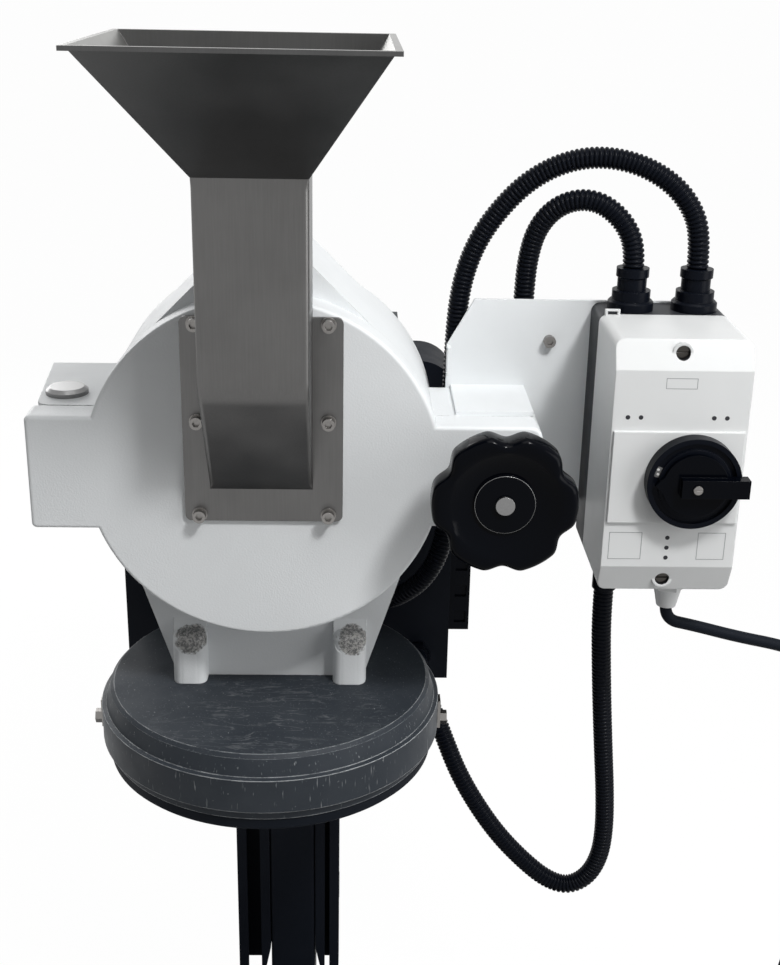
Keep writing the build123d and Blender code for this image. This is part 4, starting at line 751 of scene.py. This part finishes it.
def outline(name, node_name, x, z, width, height, line=0.5 * MM):
    """Thin rectangular line round a shallow bare pocket on a piece's front."""
    y = facing(node_name, x, z)
    left, right, low, high = x - width / 2, x + width / 2, z - height / 2, z + height / 2
    bars = [((left, low), (right, low + line)), ((left, high - line), (right, high)),
            ((left, low + line), (left + line, high - line)),
            ((right - line, low + line), (right, high - line))]
    return blocks(name, [((a[0], y - mark_proud, a[1]), (b[0], y + mark_root, b[1]))
                         for a, b in bars])


# The cover's dimples are drawn as dark discs: painted shade in their hollows.
dimples = [(x * MM, axis_z + 56 * MM) for x in (278, 288, 344, 354)]
dimples += [(317 * MM, axis_z + up * MM) for up in (-43, -51.5, -60)]
dress(dots("cover_dimples", "switch_cover", dimples, 1.8 * MM), "root", "dark_plastic", dimple_painted_shade)
pockets = {"pocket_left": (284, -50, 26, 23), "pocket_right": (352, -50, 22, 23),
           "pocket_top": (317, 83, 24, 8.5)}
for pocket, (x, up, width, height) in pockets.items():
    dress(outline(pocket, "switch_cover", x * MM, axis_z + up * MM, width * MM, height * MM),
          "root", "grey_plastic", shadow_line)

eyelet_x, eyelet_y, eyelet_z = 276 * MM, cover_high[1], cover_high[2]
eyelet_bars = [((-6, -0.5), (-4, 4.5)), ((4, -0.5), (6, 4.5)), ((-4, 3), (4, 4.5))]
dress(blocks("eyelet", [((eyelet_x + a[0] * MM, eyelet_y - 3 * MM, eyelet_z + a[1] * MM),
                         (eyelet_x + b[0] * MM, eyelet_y, eyelet_z + b[1] * MM))
                        for a, b in eyelet_bars]),
      "root", "grey_plastic", materials["grey_plastic"])

gland_x, gland_y = (gland_low[0] + gland_high[0]) / 2, (gland_low[1] + gland_high[1]) / 2
gland_profile = [(14.5, 0), (15.5, 1), (15.5, 9), (14.3, 10)]
dress(turned("gland_nut", [(radius * MM, rise * MM) for radius, rise in gland_profile],
             (gland_x, gland_y, cover_low[2] - 11 * MM), (0, 0, 1), 6),
      "root", "grey_plastic", materials["grey_plastic"])

# Painted shade: thin black sheets just inside the duct's front and right walls darken its inside.
duct_shade_x, duct_shade_y = duct_high[0] - 3.2 * MM, duct_low[1] + 3 * MM
duct_shade_low, duct_shade_high = duct_low[2] + 1 * MM, duct_high[2] - 1 * MM
dress(blocks("duct_painted_shade", [((duct_shade_x, duct_shade_y, duct_shade_low),
                              (duct_high[0] - 2.4 * MM, duct_high[1] - 3 * MM, duct_shade_high)),
                             ((duct_low[0] + 3 * MM, duct_low[1] + 2.4 * MM, duct_shade_low),
                              (duct_shade_x, duct_shade_y, duct_shade_high))]),
      "root", "black_plastic", materials["black_plastic"])

window_x, window_z = 302.2 * MM, axis_z + 16.2 * MM
window_marks = [(window_x, window_z + 1.9 * MM), (window_x, window_z - 1.9 * MM)]
dress(dots("dial_window", "switch_plate", [(window_x, window_z)], 4.4 * MM),
      "root", "black_plastic", window_grey)
dress(dots("dial_marks", "switch_plate", window_marks, 1.1 * MM, 0.14 * MM),
      "root", "black_plastic", pale_mark)


# ======================================================================== foot bosses
foot_z = 0.5515                      # just clear of the lid
boss_top_z = 0.599
boss_face_y = -24.9 * MM
boss_half = 14.3 * MM
boss_round = 10.5 * MM
boss_root_y = -4 * MM
boss_dome = 8 * MM


def boss_cap(name, x):
    """Rounded column over a foot boss: round front corners and a domed top."""
    verts = []
    levels = [(foot_z, 0.0), (boss_top_z - boss_dome, 0.0)]
    for degrees in (15, 30, 45, 60, 75, 88):
        angle = math.radians(degrees)
        levels.append((boss_top_z - boss_dome + boss_dome * math.sin(angle),
                       boss_dome * (1 - math.cos(angle))))
    for z, shrink in levels:
        corner = max(boss_round - shrink * 0.6, 1 * MM)
        left, right, front = x - boss_half + shrink, x + boss_half - shrink, boss_face_y + shrink
        verts.append((left, boss_root_y, z))
        for corner_x, start in ((left + corner, 180), (right - corner, 270)):
            for k in range(9):
                angle = math.radians(start + 90 * k / 8)
                verts.append((corner_x + corner * math.cos(angle),
                              front + corner + corner * math.sin(angle), z))
        verts.append((right, boss_root_y, z))
    faces = ring_faces(len(levels), len(verts) // len(levels), True)
    return creased(mesh_object(name, verts, faces), 40)


for side, boss_name in ((-1, "boss_left"), (1, "boss_right")):
    dress(boss_cap(boss_name, side * 68 * MM), "root", "cast_white", materials["cast_white"])


# ======================================================================== floor, light, camera
def seen_straight(tree):
    """1 for what the camera sees, also in metal and through glass; 0 for light on the object."""
    path = node(tree, "ShaderNodeLightPath")
    seen = arithmetic(tree, "MAXIMUM", path.outputs["Is Camera Ray"], path.outputs["Is Glossy Ray"])
    return arithmetic(tree, "MAXIMUM", seen, path.outputs["Is Transmission Ray"])


def white_floor():
    """Pale floor and backdrop that read white to the camera and keep the object's shadow."""
    material = bpy.data.materials.new("studio_white")
    material.use_nodes = True
    tree = material.node_tree
    tree.nodes.clear()
    output = node(tree, "ShaderNodeOutputMaterial")
    diffuse = node(tree, "ShaderNodeBsdfDiffuse")
    diffuse.inputs["Color"].default_value = (0.42, 0.42, 0.42, 1)
    glow = node(tree, "ShaderNodeEmission")
    glow.inputs["Color"].default_value = (1, 1, 1, 1)
    glow.inputs["Strength"].default_value = 1.05
    mix = node(tree, "ShaderNodeMixShader")
    tree.links.new(arithmetic(tree, "MULTIPLY", seen_straight(tree), 0.93), mix.inputs[0])
    tree.links.new(diffuse.outputs["BSDF"], mix.inputs[1])
    tree.links.new(glow.outputs["Emission"], mix.inputs[2])
    tree.links.new(mix.outputs["Shader"], output.inputs["Surface"])
    half = 9.0
    wall = 9.0
    bend = 2.0
    bend_steps = 12
    rise = [(-half, 0.0)]
    for k in range(bend_steps + 1):
        angle = math.pi / 2 * k / bend_steps
        rise.append((half - bend + bend * math.sin(angle), bend - bend * math.cos(angle)))
    rise.append((half, wall))
    verts = [(x, y, z) for y, z in rise for x in (-half, half)]
    faces = [(2 * k, 2 * k + 1, 2 * k + 3, 2 * k + 2) for k in range(len(rise) - 1)]
    floor = mesh_object("studio_floor", verts, faces)
    floor.data.materials.append(material)


white_floor()

room_light = 0.24                    # strength of the world as light on the object
world = bpy.data.worlds.new("studio_world")
bpy.context.scene.world = world
world.use_nodes = True
world_tree = world.node_tree
world_tree.nodes.clear()
world_output = node(world_tree, "ShaderNodeOutputWorld")
room = node(world_tree, "ShaderNodeBackground")
room.inputs["Color"].default_value = (1, 1, 1, 1)
world_tree.links.new(arithmetic(world_tree, "MAXIMUM", seen_straight(world_tree), room_light),
                     room.inputs["Strength"])
world_tree.links.new(room.outputs["Background"], world_output.inputs["Surface"])


def soft_light(name, place, aim, size, power):
    """Rectangular area lamp at a place, turned to its aim."""
    data = bpy.data.lights.new(name, "AREA")
    data.shape = "RECTANGLE"
    data.size, data.size_y = size
    data.energy = power
    lamp = link(bpy.data.objects.new(name, data))
    lamp.location = place
    lamp.rotation_mode = "QUATERNION"
    lamp.rotation_quaternion = (Vector(aim) - Vector(place)).to_track_quat("-Z", "Y")


soft_light("overhead", (0.35, -0.60, 2.3), (0.05, 0.0, 0.75), (1.1, 0.9), 9)
soft_light("key_right", (0.95, -1.15, 2.45), (0.08, 0.0, 0.75), (0.34, 0.34), 33)
soft_light("side_right", (1.25, -0.60, 1.0), (0.1, 0.0, 0.75), (0.7, 0.9), 7)
soft_light("rear_fill", (-1.3, 2.0, 1.6), (0.0, 0.1, 0.7), (1.4, 1.4), 26)

pitch, yaw, roll = math.radians(20.85), math.radians(1.58), math.radians(1.11)
camera_place = Vector((0.07086, -1.07044, 1.13592))
forward = Vector((math.sin(yaw) * math.cos(pitch), math.cos(yaw) * math.cos(pitch), -math.sin(pitch)))
level_right = forward.cross(Vector((0, 0, 1))).normalized()
level_up = level_right.cross(forward)
camera_right = level_right * math.cos(roll) + level_up * math.sin(roll)
camera_up = -level_right * math.sin(roll) + level_up * math.cos(roll)
camera_data = bpy.data.cameras.new("camera")
camera_data.lens = 51.55
camera_data.sensor_width = 36
camera_data.sensor_fit = "AUTO"
camera = link(bpy.data.objects.new("camera", camera_data))
camera.matrix_world = Matrix((
    (camera_right.x, camera_up.x, -forward.x, camera_place.x),
    (camera_right.y, camera_up.y, -forward.y, camera_place.y),
    (camera_right.z, camera_up.z, -forward.z, camera_place.z),
    (0, 0, 0, 1),
))
bpy.context.scene.camera = camera
bpy.context.scene.view_settings.view_transform = "Standard"
